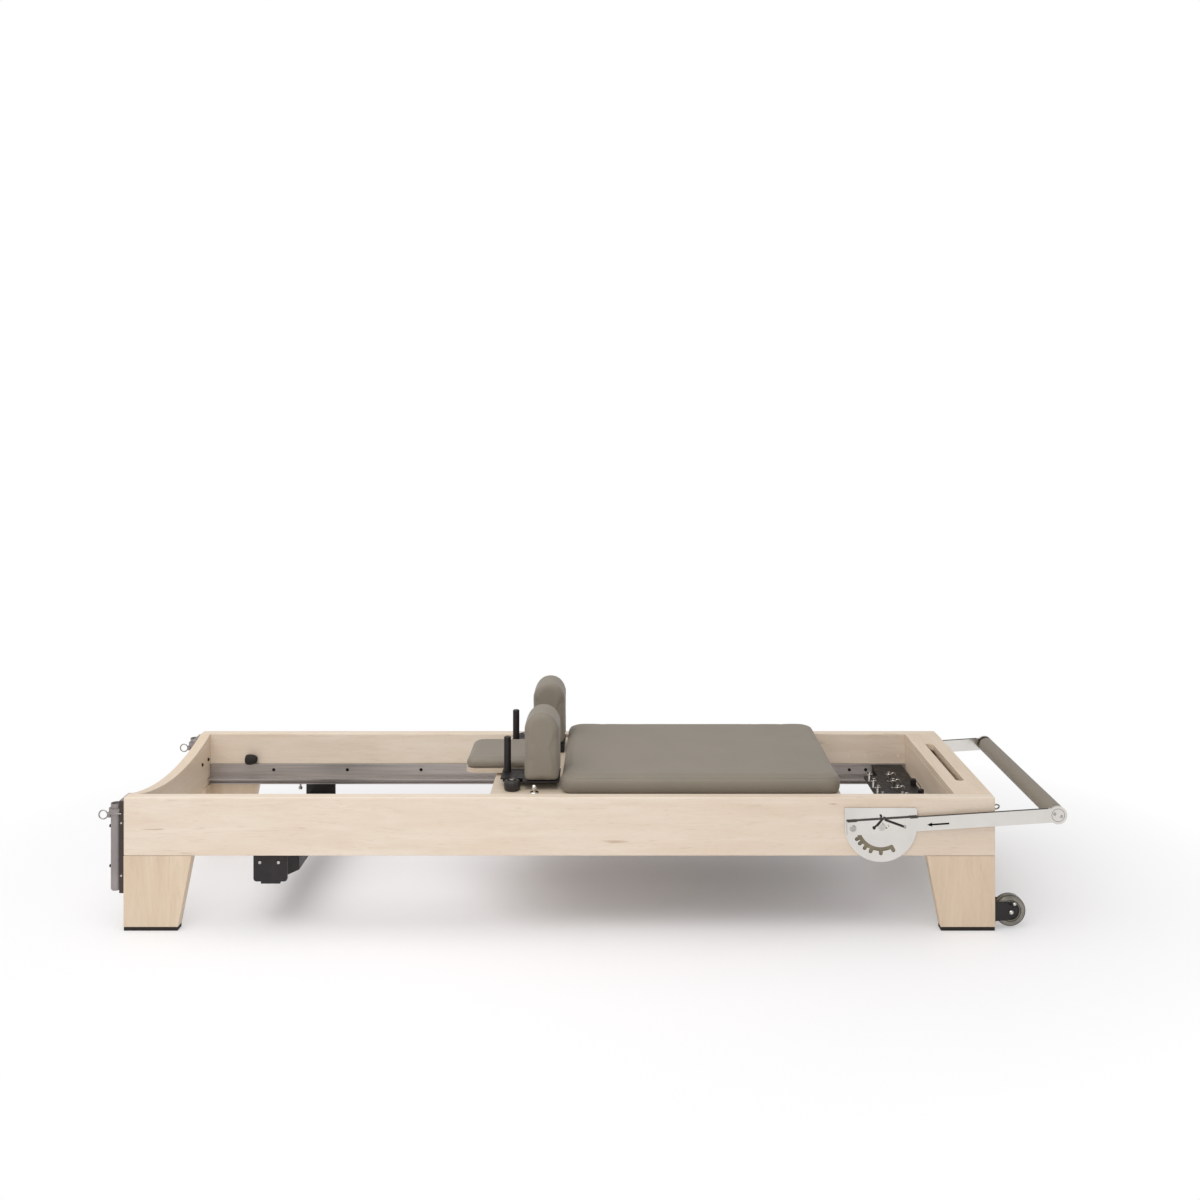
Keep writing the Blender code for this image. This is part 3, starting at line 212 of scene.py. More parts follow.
def metal(name, colour, rough, metallic=1.0, wear=0.08, grain=(1, 1, 1)):
    """Metal or paint whose roughness varies a little; grain stretches it into brush lines along an axis."""
    mat, nodes, links, shader = new_material(name)
    vector = coords(nodes, links, grain)
    fine = noise(nodes, links, vector, 60.0, 3, 0.6)
    smear = noise(nodes, links, vector, 9.0, 3)
    links.new(cloudy(nodes, links, smear, colour, 1 - wear, 1 + wear), shader.inputs["Base Color"])
    links.new(scaled(nodes, links, fine, 0.3, 0.7, rough * 0.8, rough * 1.25), shader.inputs["Roughness"])
    shader.inputs["Metallic"].default_value = metallic
    bump(nodes, links, shader, fine, 0.05, 0.0002)
    return mat


def plastic(name, colour, rough, grain=500.0, depth=0.1):
    """Moulded plastic or rubber with a fine texture."""
    mat, nodes, links, shader = new_material(name)
    vector = coords(nodes, links)
    fine = noise(nodes, links, vector, grain, 2)
    slow = noise(nodes, links, vector, 15.0, 3)
    light = tuple(min(255, c * 1.15 + 2) for c in colour)
    tone = ramp(nodes, links, slow, [(0.35, linear(*colour)), (0.7, linear(*light))])
    links.new(tone, shader.inputs["Base Color"])
    links.new(scaled(nodes, links, slow, 0.3, 0.7, rough * 0.9, rough * 1.1), shader.inputs["Roughness"])
    bump(nodes, links, shader, fine, depth, 0.0003)
    return mat


MAPLE_X = maple("maple_along_x", "X")
MAPLE_Y = maple("maple_along_y", "Y", (222, 205, 184), (211, 191, 166), offset=3.0)
MAPLE_Z = maple("maple_along_z", "Z", (218, 199, 175), (206, 184, 157), (218, 190, 166), offset=7.0)
DECK = maple("maple_deck", "X", (214, 200, 182), (202, 184, 162), offset=11.0)
COVER = upholstery()
CHROME = metal("chrome_polished", (218, 214, 209), 0.17, wear=0.02)
STEEL = metal("steel_bright", (200, 199, 197), 0.24)
# Colour of the painted shade seen in the gear plates' slots
SLOT_PAINTED_SHADE = plastic("slot_painted_shade", (128, 119, 101), 0.8)
# Colour of the painted reflection: the dark line along the foot bar arms' top edge
PAINTED_EDGE_REFLECTION = plastic("painted_edge_reflection_dark", (52, 48, 46), 0.5)
BAR_BLACK = metal("bar_black", (27, 23, 23), 0.5, 0.2, 0.12)
PIN_STEEL = metal("pin_steel", (158, 152, 147), 0.3)
BOLT = metal("bolt_zinc", (190, 187, 182), 0.28)
DULL = metal("steel_dull", (120, 116, 112), 0.4)
TRACK = metal("track_anodised", (176, 169, 165), 0.42, 0.7, grain=(0.4, 30, 30))
SOCKET = metal("socket_grey", (146, 139, 138), 0.45, 0.3)
# Colour of the painted shadow in the gap between each tower socket's tube and plate
PLATE_PAINTED_GAP_SHADOW = metal("plate_painted_gap_shadow", (62, 52, 49), 0.5, 0.3)
TUBE = metal("tube_grey", (124, 119, 116), 0.42, 0.35)
BLACK = metal("black_powder_coat", (35, 30, 31), 0.45, 0.2, 0.12)
SCREW_BLACK = metal("screw_black", (30, 28, 28), 0.35, 0.6)
RUBBER = plastic("rubber_black", (27, 21, 18), 0.78)
KNOB = plastic("knob_black", (38, 35, 34), 0.42)
ROLLER = plastic("roller_black", (48, 46, 46), 0.4)
INK_DARK = plastic("print_dark", (66, 62, 60), 0.6)
INK_PALE = plastic("print_pale", (226, 204, 184), 0.6)
WEB = plastic("elastic_black", (34, 32, 32), 0.8, grain=900.0, depth=0.3)


def smoky_tyre():
    """See-through grey polyurethane with a darker heart."""
    mat, nodes, links, shader = new_material("tyre_smoke")
    vector = coords(nodes, links)
    cloud = noise(nodes, links, vector, 40.0, 3)
    tone = ramp(nodes, links, cloud, [(0.35, linear(132, 127, 115)), (0.7, linear(162, 157, 145))])
    links.new(tone, shader.inputs["Base Color"])
    links.new(scaled(nodes, links, cloud, 0.3, 0.7, 0.12, 0.22), shader.inputs["Roughness"])
    shader.inputs["Transmission Weight"].default_value = 0.35
    shader.inputs["IOR"].default_value = 1.45
    shader.inputs["Coat Weight"].default_value = 0.5
    shader.inputs["Coat Roughness"].default_value = 0.08
    return mat


TYRE = smoky_tyre()


def dress(material, *names):
    """Give CAD nodes a material."""
    for name in names:
        node = NODES[name]
        node.data.materials.clear()
        node.data.materials.append(material)


def both(stem):
    """A node's names on the two sides."""
    return [f"{stem}_{side}" for side, _ in SIDES]


dress(MAPLE_X, *both("rail"))
dress(MAPLE_Y, "head_board", "foot_board", "foot_inner_board", "foot_platform")
dress(MAPLE_Z, *both("leg_head"), *both("leg_foot"))
dress(RUBBER, *both("foot_pad_head"), *both("foot_pad_foot"), *both("travel_stop"))
dress(TRACK, *both("track"))
dress(BAR_BLACK, "spring_bar")
dress(BLACK, "cross_beam", "spring_carrier", *both("transport_bracket"), *both("side_iron"),
      *both("shoulder_base"))
dress(SOCKET, *both("tower_socket"))
dress(CHROME, *both("gear_plate"), *both("footbar_arm"), *both("pivot_bolt"), *both("rest_plunger"))
dress(PIN_STEEL, *both("socket_pin"))
dress(TUBE, "footbar_tube")
dress(DECK, "carriage_deck", "headrest_board")
dress(ROLLER, *both("roller_head"), *both("roller_foot"), *both("transport_wheel"))
dress(KNOB, *both("clamp_knob"))
dress(COVER, "carriage_pad", "headrest_pad", "footbar_grip", *both("shoulder_pad"))
dress(STEEL, *[f"spring_{n}" for n in range(1, 6)])


# Making pieces

TURNS = {"Z": Matrix.Identity(4), "X": Matrix.Rotation(math.pi / 2, 4, "Y"),
         "Y": Matrix.Rotation(-math.pi / 2, 4, "X")}


def linked(name, data):
    """A new object in the scene."""
    obj = bpy.data.objects.new(name, data)
    bpy.context.collection.objects.link(obj)
    return obj


def piece(name, bm, material, body, smooth=30):
    """A mesh object on a CAD body, or on none yet; edges sharper than smooth degrees stay sharp."""
    bmesh.ops.recalc_face_normals(bm, faces=bm.faces)
    for face in bm.faces:
        face.smooth = True
    for edge in bm.edges:
        if len(edge.link_faces) == 2 and edge.calc_face_angle(0) > math.radians(smooth):
            edge.smooth = False
    mesh = bpy.data.meshes.new(name)
    bm.to_mesh(mesh)
    bm.free()
    mesh.materials.append(material)
    obj = linked(name, mesh)
    if body:
        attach(obj, body)
    return obj


def bridge(bm, rings, shift=0):
    """Faces between neighbouring rings of vertices, where a ring of one vertex is a point."""
    for one, two in zip(rings, rings[1:]):
        count = max(len(one), len(two))
        for i in range(count):
            j = (i + 1) % count
            if len(one) == 1:
                bm.faces.new((one[0], two[i], two[j]))
            elif len(two) == 1:
                bm.faces.new((one[i], one[j], two[0]))
            else:
                bm.faces.new((one[i], one[j], two[(j + shift) % count], two[(i + shift) % count]))


def circle(count):
    """Angles round a full turn."""
    return [2 * math.pi * i / count for i in range(count)]


def lathe_into(bm, profile, axis, origin, steps):
    """Turn a profile of (radius, height) about an axis through origin; closed where the radius is 0."""
    turn = Matrix.Translation(origin) @ TURNS[axis]
    rings = []
    for radius, height in profile:
        if radius == 0:
            rings.append([bm.verts.new(turn @ Vector((0, 0, height)))])
            continue
        rings.append([bm.verts.new(turn @ Vector((radius * math.cos(a), radius * math.sin(a), height)))
                      for a in circle(steps)])
    bridge(bm, rings)


def lathe(name, profile, axis, origin, material, body, steps=32):
    bm = bmesh.new()
    lathe_into(bm, profile, axis, origin, steps)
    return piece(name, bm, material, body)


def stretched(profile, across, along):
    """A profile with its radii and its heights multiplied."""
    return [(r * across, h * along) for r, h in profile]


def sweep_into(bm, path, radius, around=10, closed=False):
    """A round wire along a list of points."""
    count = len(path)
    rings = []
    normal = None
    for i, point in enumerate(path):
        ahead = path[(i + 1) % count] if closed or i < count - 1 else point
        behind = path[i - 1] if closed or i else point
        along = (ahead - behind).normalized()
        if normal is None:
            normal = along.orthogonal().normalized()
        normal = (normal - along * normal.dot(along)).normalized()
        side = along.cross(normal)
        rings.append([bm.verts.new(point + radius * (math.cos(a) * normal + math.sin(a) * side))
                      for a in circle(around)])
    bridge(bm, rings)
    if closed:
        last, first = rings[-1], rings[0]
        bridge(bm, [last, first], min(range(around), key=lambda k: (last[0].co - first[k].co).length))
    else:
        bm.faces.new(rings[0][::-1])
        bm.faces.new(rings[-1])


def sweep(name, path, radius, material, body, around=10, closed=False):
    bm = bmesh.new()
    sweep_into(bm, [Vector(p) for p in path], radius, around, closed)
    return piece(name, bm, material, body, 60)


# Cushions

def applied(obj):
    """Bake an object's modifiers into its mesh."""
    bpy.context.view_layer.update()
    depsgraph = bpy.context.evaluated_depsgraph_get()
    mesh = bpy.data.meshes.new_from_object(obj.evaluated_get(depsgraph))
    obj.modifiers.clear()
    obj.data = mesh


PRESSURE = 4.0
SIM_FRAMES = 20


def inflate(obj, cap):
    """Swell a closed skin as cloth, and keep each point within cap of where it began."""
    start = [v.co.copy() for v in obj.data.vertices]
    cloth = obj.modifiers.new("fill", "CLOTH")
    settings = cloth.settings
    settings.quality = 5
    settings.mass = 0.3
    settings.tension_stiffness = 15
    settings.compression_stiffness = 15
    settings.shear_stiffness = 5
    settings.bending_stiffness = 0.5
    settings.use_pressure = True
    settings.uniform_pressure_force = PRESSURE
    settings.effector_weights.gravity = 0
    cloth.collision_settings.use_collision = False
    cloth.point_cache.frame_start = 1
    cloth.point_cache.frame_end = SIM_FRAMES
    for number in range(1, SIM_FRAMES + 1):
        bpy.context.scene.frame_set(number)
    applied(obj)
    bpy.context.scene.frame_set(1)
    for vertex, old in zip(obj.data.vertices, start):
        move = vertex.co - old
        if move.length > cap:
            vertex.co = old + move.normalized() * cap


def cushion(name, node, body, voxel, shrink, cap):
    """A stuffed cover grown from a slightly smaller copy of a pad's solid, held inside the solid's box."""
    obj = linked(name, NODES[node].data.copy())
    low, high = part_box(node)
    centre, half = (low + high) / 2, (high - low) / 2
    for vertex in obj.data.vertices:
        vertex.co = Vector([centre[k] + (vertex.co[k] - centre[k]) * (half[k] - shrink) / half[k]
                            for k in range(3)])
    skin = obj.modifiers.new("skin", "REMESH")
    skin.mode = "VOXEL"
    skin.voxel_size = voxel
    skin.use_smooth_shade = True
    applied(obj)
    soften = obj.modifiers.new("soften", "SMOOTH")
    soften.iterations = 4
    soften.factor = 0.5
    applied(obj)
    inflate(obj, cap)
    for vertex in obj.data.vertices:
        for k in range(3):
            vertex.co[k] = min(max(vertex.co[k], low[k]), high[k])
    finer = obj.modifiers.new("finer", "SUBSURF")
    finer.levels = finer.render_levels = 1
    applied(obj)
    for face in obj.data.polygons:
        face.use_smooth = True
    obj.data.materials.clear()
    obj.data.materials.append(COVER)
    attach(obj, body)
    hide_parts(node)
    return obj


WELT = 0.0009
SHOULDER_WELT_INSET = 0.009
Y_AXIS, Z_AXIS = 1, 2


def seam(name, cover, axis, level, body, count):
    """A thin welt round a cushion, laid on its skin where a plane across the axis cuts it."""
    mesh = cover.data
    tree = BVHTree.FromPolygons([v.co for v in mesh.vertices], [p.vertices for p in mesh.polygons])
    centre = sum((v.co for v in mesh.vertices), Vector()) / len(mesh.vertices)
    centre[axis] = level
    first, second = [k for k in range(3) if k != axis]
    path = []
    for a in circle(count):
        ray = Vector((0, 0, 0))
        ray[first], ray[second] = math.cos(a), math.sin(a)
        hit = tree.ray_cast(centre + ray * 2, -ray)[0]
        if hit:
            path.append(hit - ray * WELT * 0.5)
    return sweep(name, path, WELT, COVER, body, 6, True)


pad = cushion("main_pad", "carriage_pad", "carriage", voxel=0.006, shrink=0.0012, cap=0.005)
seam("main_pad_welt", pad, Z_AXIS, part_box("carriage_pad")[1].z - 0.0085, "carriage", 420)
pad = cushion("headrest_cushion", "headrest_pad", "headrest", voxel=0.005, shrink=0.001, cap=0.004)
seam("headrest_welt", pad, Z_AXIS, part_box("headrest_pad")[0].z + 0.007, "headrest", 300)
for side, sign in SIDES:
    pad = cushion(f"shoulder_rest_{side}", f"shoulder_pad_{side}", "carriage", voxel=0.005, shrink=0.001,
                  cap=0.004)
    low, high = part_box(f"shoulder_pad_{side}")
    outer = low.y + SHOULDER_WELT_INSET if sign < 0 else high.y - SHOULDER_WELT_INSET
    seam(f"shoulder_welt_{side}", pad, Y_AXIS, outer, "carriage", 260)
cushion("foot_bar_roll", "footbar_grip", "footbar", voxel=0.005, shrink=0.0006, cap=0.003)


# Springs under the carriage

SPRING_WIRE = 0.0016
SPRING_PITCH = 2.15 * SPRING_WIRE
SPRING_EYE = 0.008
SPRING_HOOK = 0.022
COIL_STEPS = 14

for number in range(1, 6):
    low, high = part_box(f"spring_{number}")
    y, z = (low.y + high.y) / 2, (low.z + high.z) / 2
    coil = (high.z - low.z) / 2 - SPRING_WIRE
    first, last = low.x + SPRING_HOOK, high.x - SPRING_HOOK
    turns = int((last - first) / SPRING_PITCH)
    path = [Vector((first + SPRING_PITCH * i / COIL_STEPS, y + coil * math.cos(2 * math.pi * i / COIL_STEPS),
                    z + coil * math.sin(2 * math.pi * i / COIL_STEPS))) for i in range(turns * COIL_STEPS + 1)]
    for end, sense in ((low.x, 1), (high.x, -1)):
        eye = [Vector((end + sense * (SPRING_EYE + SPRING_WIRE - SPRING_EYE * math.cos(a)),
                       y + SPRING_EYE * math.sin(a), z))
               for a in (math.radians(20 * k) for k in range(-7, 8))]
        neck = Vector((first if sense > 0 else last, y, z + coil * 0.5))
        if sense > 0:
            path = [*eye[::-1], neck, *path]
        else:
            path = [*path, neck, *eye]
    spring = sweep(f"coil_spring_{number}", path, SPRING_WIRE, STEEL, "carriage", 6)
    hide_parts(f"spring_{number}")


# Transport wheels, with profiles as shares of the radius and of half the width

TYRE_PROFILE = [(0.60, -1), (0.86, -1), (0.96, -0.72), (1, -0.3), (1, 0.3), (0.96, 0.72), (0.86, 1), (0.60, 1),
                (0.60, -1)]
CORE_PROFILE = [(0.24, -1), (0.40, -0.94), (0.44, -0.66), (0.60, -0.6), (0.60, 0.6), (0.44, 0.66), (0.40, 0.94),
                (0.24, 1), (0.24, -1)]
# Painted shade: dark rings given as (share of the radius, wire radius, share they sit in from the face) stand
# in for the see-through tyre's dark outlines
WHEEL_PAINTED_OUTLINES = ((0.975, 0.0009, 0.30), (0.665, 0.0011, 0.0))
WHEEL_STEPS = 48


def ring_path(centre, radius, across, up, count=28):
    return [centre + radius * (math.cos(a) * across + math.sin(a) * up) for a in circle(count)]


for side, sign in SIDES:
    node = f"transport_wheel_{side}"
    low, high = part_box(node)
    hub = (low + high) / 2
    radius, half = (high.z - low.z) / 2, (high.y - low.y) / 2
    tyre = lathe(f"wheel_tyre_{side}", stretched(TYRE_PROFILE, radius, half), "Y", hub, TYRE, node, WHEEL_STEPS)
    lathe(f"wheel_core_{side}", stretched(CORE_PROFILE, radius, half), "Y", hub, KNOB, node, WHEEL_STEPS)
    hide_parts(node)
    # Painted shade: dark rings on both faces of the tyre, at its rim and round its core
    rims = bmesh.new()
    for face_y in (-half, half):
        for share, wire, drop in WHEEL_PAINTED_OUTLINES:
            sweep_into(rims, ring_path(hub + Vector((0, face_y * (1 - drop), 0)), radius * share,
                                       Vector((1, 0, 0)), Vector((0, 0, 1)), WHEEL_STEPS), wire, 6, True)
    piece(f"wheel_painted_outlines_{side}", rims, KNOB, node, 60)


# Fasteners and small fittings

HEAD_STEPS = 24


def place(x, y, z):
    """A point from the middle of the frame's length."""
    return Vector((MID_X + x, y, z))


def hexagon(angle):
    """How far a hexagon with corners at 1 reaches at an angle."""
    return math.cos(math.pi / 6) / math.cos(angle % (math.pi / 3) - math.pi / 6)


def bolt_into(bm, centre, outward, radius, height, key=0.5):
    """A domed bolt head standing on centre, with a hexagonal key hole."""
    turn = Matrix.Translation(centre) @ Vector(outward).to_track_quat("Z", "Y").to_matrix().to_4x4()
    rings = []
    for reach, rise, keyed in ((1, 0, 0), (1, 0.5, 0), (0.9, 0.85, 0), (0.72, 1, 0), (key, 1, 1),
                               (key, 0.3, 1)):
        rings.append([])
        for a in circle(HEAD_STEPS):
            r = radius * reach * (hexagon(a) if keyed else 1)
            rings[-1].append(bm.verts.new(turn @ Vector((r * math.cos(a), r * math.sin(a), height * rise))))
    bridge(bm, rings)
    bm.faces.new(rings[0][::-1])
    bm.faces.new(rings[-1])


def bolts(name, heads, material, body, radius, height):
    """Bolt heads in one mesh, from pairs of a centre and an outward direction."""
    bm = bmesh.new()
    for centre, outward in heads:
        bolt_into(bm, centre, outward, radius, height)
    return piece(name, bm, material, body)


def joined(name, pieces, material, body, smooth=30):
    """Lathed parts in one mesh, from (profile, axis, origin, steps)."""
    bm = bmesh.new()
    for profile, axis, origin, steps in pieces:
        lathe_into(bm, profile, axis, origin, steps)
    return piece(name, bm, material, body, smooth)


def ball(radius, low, high, count):
    """The profile of a ball between two heights, as shares of its radius."""
    start, end = math.asin(low), math.asin(high)
    return [(max(0.0, radius * math.cos(a)) if abs(math.sin(a)) < 0.9999 else 0.0, radius * math.sin(a))
            for a in (start + (end - start) * i / count for i in range(count + 1))]


# Frame fasteners
HEAD_BOARD_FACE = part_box("head_board")[1].x
BOARD_BOLT_Y = (0.29, 0.23)
BOARD_BOLT_Z = 0.29
bolts("board_bolts", [(Vector((HEAD_BOARD_FACE, sign * y, BOARD_BOLT_Z)), (1, 0, 0))
                      for _, sign in SIDES for y in BOARD_BOLT_Y],
      SCREW_BLACK, "frame", radius=0.0055, height=0.0035)
BEAM_LOW, BEAM_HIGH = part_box("cross_beam")
BEAM_SCREW_INSETS = (0.018, 0.070)
BEAM_SCREW_Z = 0.174
bolts("beam_screws", [(Vector((BEAM_LOW.x + inset, sign * BEAM_HIGH.y, BEAM_SCREW_Z)), (0, sign, 0))
                      for _, sign in SIDES for inset in BEAM_SCREW_INSETS],
      BOLT, "frame", radius=0.0045, height=0.002)
HANGER_X, HANGER_Y = -0.871, 0.30
HANGER = [(0.0, 0.0), (0.0032, 0.0), (0.0032, -0.006), (0.0062, -0.0075), (0.0068, -0.011),
          (0.0052, -0.0150), (0.0, -0.0165)]
joined("beam_hangers", [(HANGER, "Z", place(HANGER_X, sign * HANGER_Y, RAIL_BOTTOM), 20)
                        for _, sign in SIDES], BOLT, "frame", 50)

# Tower sockets: bolts on the tube, screws and a painted gap shadow on the plate, and the pins' bails
TUBE_X, TUBE_Y, TUBE_R = MID_X - 1.2255, 0.335, 0.014
SOCKET_BOLT_Z = (0.2846, 0.174)
PLATE_X, PLATE_EDGE_Y = RAIL_LO.x - 0.0065, FACE_Y - 0.002
PLATE_SCREW_Z = (0.296, 0.151)
BAIL_WIRE = 0.0014
BAIL_PATH = ((-1.2500, 0.338, 0.3190), (-1.2450, 0.347, 0.3222), (-1.2380, 0.3515, 0.3226),
             (-1.2050, 0.3515, 0.3226))
bolts("socket_bolts", [(Vector((TUBE_X - TUBE_R, sign * TUBE_Y, z)), (-1, 0, 0))
                       for _, sign in SIDES for z in SOCKET_BOLT_Z],
      SCREW_BLACK, "frame", radius=0.0045, height=0.004)
bolts("socket_screws", [(Vector((PLATE_X, sign * PLATE_EDGE_Y, z)), (0, sign, 0))
                        for _, sign in SIDES for z in PLATE_SCREW_Z],
      BOLT, "frame", radius=0.003, height=0.0015)
for side, sign in SIDES:
    sweep(f"socket_bail_{side}", [place(x, sign * y, z) for x, y, z in BAIL_PATH], BAIL_WIRE, BOLT,
          f"socket_pin_{side}")
    # Painted shadow: the plate's outward faces beside the tube are coloured dark for the shadow in the gap
    # between tube and plate
    socket = NODES[f"tower_socket_{side}"].data
    socket.materials.append(PLATE_PAINTED_GAP_SHADOW)
    for face in socket.polygons:
        if face.normal.y * sign > 0.7 and face.center.x > TUBE_X + TUBE_R - 0.001:
            face.material_index = 1

# Track inserts
STOP_HOLES = [-0.961 + 0.240 * i for i in range(8)]
BAR_HOLES = [0.914 + 0.053 * i for i in range(4)]
HOLE_Z = RAIL_BOTTOM + 0.0445
TRACK_FACE_Y = TRACK_BACK_Y - 0.004
INSERT = [(0.0052, -0.0036), (0.0052, 0.0), (0.0046, 0.0006), (0.0036, 0.0006), (0.0034, 0.0),
          (0.0034, -0.0034), (0.0, -0.0034)]
for side, sign in SIDES:
    joined(f"track_inserts_{side}", [(stretched(INSERT, 1, -sign), "Y",
                                      place(x, sign * TRACK_FACE_Y, HOLE_Z), 20)
                                     for x in STOP_HOLES + BAR_HOLES], SCREW_BLACK, "frame")

# Figures 1 to 4 over the spring bar's places, flat on the rails' inner faces
FIGURE_SIZE = 0.019
FIGURE_DEPTH = 0.0002
FIGURE_SHIFT = 0.001
FIGURE_Z = 0.289


def digits(name, sign):
    """The four figures of one rail as a mesh."""
    bm = bmesh.new()
    for number, x in enumerate(BAR_HOLES, 1):
        curve = bpy.data.curves.new(name, "FONT")
        curve.body = str(number)
        curve.size = FIGURE_SIZE
        curve.align_x = "CENTER"
        curve.extrude = FIGURE_DEPTH
        text = linked(name, curve)
        bpy.context.view_layer.update()
        mesh = bpy.data.meshes.new_from_object(text.evaluated_get(bpy.context.evaluated_depsgraph_get()))
        turn = Matrix.Rotation(0 if sign > 0 else math.pi, 4, "Z") @ Matrix.Rotation(math.pi / 2, 4, "X")
        spot = place(x - FIGURE_SHIFT, sign * (INNER_Y - FIGURE_DEPTH), FIGURE_Z)
        mesh.transform(Matrix.Translation(spot) @ turn)
        bm.from_mesh(mesh)
        bpy.data.objects.remove(text)
    return piece(name, bm, INK_PALE, "frame", 40)


for side, sign in SIDES:
    digits(f"place_numbers_{side}", sign)

# Rope eyes on the foot end
EYE_Y, EYE_Z = 0.30, 0.3255
EYE_RING_X, EYE_RING_R, EYE_WIRE = 1.2165, 0.0085, 0.0021
EYE_STEM_X, EYE_STEM_R = (1.1995, 1.209), 0.0019
EYE_FLANGE_X = 1.2001
EYE_FLANGE = [(0, 0), (0.0055, 0), (0.0055, 0.0012), (0, 0.0012)]
for side, sign in SIDES:
    bm = bmesh.new()
    sweep_into(bm, ring_path(place(EYE_RING_X, sign * EYE_Y, EYE_Z), EYE_RING_R, Vector((1, 0, 0)),
                             Vector((0, sign * 0.5, 0.866))), EYE_WIRE, 10, True)
    sweep_into(bm, [place(x, sign * EYE_Y, EYE_Z) for x in EYE_STEM_X], EYE_STEM_R)
    lathe_into(bm, EYE_FLANGE, "X", place(EYE_FLANGE_X, sign * EYE_Y, EYE_Z), 20)
    piece(f"rope_eye_{side}", bm, PIN_STEEL, "frame", 50)

# Spring bar: two rows of posts, a hook behind each post of the second row, and the knobs' link
BAR_TOP = 0.2665
POST_X = (0.947, 1.006)
POST_Y = [0.067 * i for i in range(-2, 3)]
POST = [(0.0, 0.0), (0.0062, 0.0), (0.0062, 0.0012), (0.0049, 0.0022), (0.0049, 0.0182), (0.0088, 0.0206),
        (0.0090, 0.0236), (0.0074, 0.0266), (0.0040, 0.0282), (0.0, 0.0286)]
joined("bar_posts", [(POST, "Z", place(x, y, BAR_TOP), 24) for x in POST_X for y in POST_Y],
       CHROME, "spring_bar", 50)
HOOK_X, HOOK_Y, HOOK_Z = POST_X[1] + 0.016, 0.012, BAR_TOP + 0.012
HOOK_WIRE = 0.0017
HOOK_FOOT = Vector((0, 0, 0.0118))
bm = bmesh.new()
for y in POST_Y:
    hook = [place(HOOK_X - 0.008 * math.cos(a), y + HOOK_Y, HOOK_Z + 0.010 * math.sin(a))
            for a in (math.pi * k / 8 for k in range(9))]
    sweep_into(bm, [hook[0] - HOOK_FOOT, *hook, hook[-1] - HOOK_FOOT], HOOK_WIRE, 8)
piece("bar_hooks", bm, CHROME, "spring_bar", 60)
BAR_KNOB_X = 1.075
LINK_PATH = ((0.0, -0.005, 0.017), (0.003, 0.010, 0.0195), (0.003, 0.084, 0.0195), (0.0, 0.099, 0.017))
LINK_WIRE = 0.0014
sweep("bar_link", [place(BAR_KNOB_X + x, y, BAR_TOP + z) for x, y, z in LINK_PATH], LINK_WIRE, SCREW_BLACK,
      "spring_bar", 8)


# Foot bar arms, with places as (along the arm, up) from the pivot or as (x, z, lift) beside it

def beside(sign, x, z, lift):
    """A point beside the pivot, lifted off the arm's face."""
    return Vector((PIVOT.x + x, sign * (ARM_FACE + lift), PIVOT.z + z))


GRIP_REACH = 0.4856
GRIP_BOLTS = ((-0.0095, 0.004), (0.0085, -0.004))
END_BOLT = -0.078
PIVOT_CAP_LIFT = 0.0042
ARROW_TIP, ARROW_BARB, ARROW_TAIL = 0.125, 0.140, 0.186
ARROW_HALF, ARROW_SHAFT, ARROW_DROP = 0.0062, 0.0023, 0.003
ARROW_HALF_OUTLINE = [(ARROW_BARB, ARROW_HALF), (ARROW_BARB - 0.002, ARROW_SHAFT), (ARROW_TAIL, ARROW_SHAFT)]
ARROW = [(ARROW_TIP, 0), *ARROW_HALF_OUTLINE, *[(a, -u) for a, u in ARROW_HALF_OUTLINE[::-1]]]
LATCH_PATH = ((0.004, 0.021, 0.002), (-0.004, 0.0135, 0.0035), (-0.011, 0.0055, 0.0035),
              (-0.020, -0.0025, 0.002))
LATCH_WIRE = 0.0018
LATCH_BUTTON = [(0, 0), (0.0042, 0), (0.0042, 0.0028), (0.003, 0.0036), (0, 0.0036)]
LATCH_PIN = [(0, 0), (0.0032, 0), (0.0032, 0.003), (0.002, 0.004), (0, 0.004)]
BAND_LIFT, BAND_R, BAND_STEPS = 0.0030, 0.0026, 12
PAINTED_EDGE_REFLECTION_MIDDLE, PAINTED_EDGE_REFLECTION_LONG = 0.184, 0.552
PAINTED_REFLECTION_THICK_PARTS = ((-0.092, -0.066, 0.0014), (0.080, 0.101, 0.0017))
END_LINE_R, END_LINE_WIRE = 0.0175, 0.0006
SLOT_SECTION = ((0.0565, 0.00004), (0.0835, 0.00004), (0.0835, 0.00024), (0.0565, 0.00024))
SLOT_ANGLES = [math.radians(degrees) for degrees in range(172, 311, 6)]

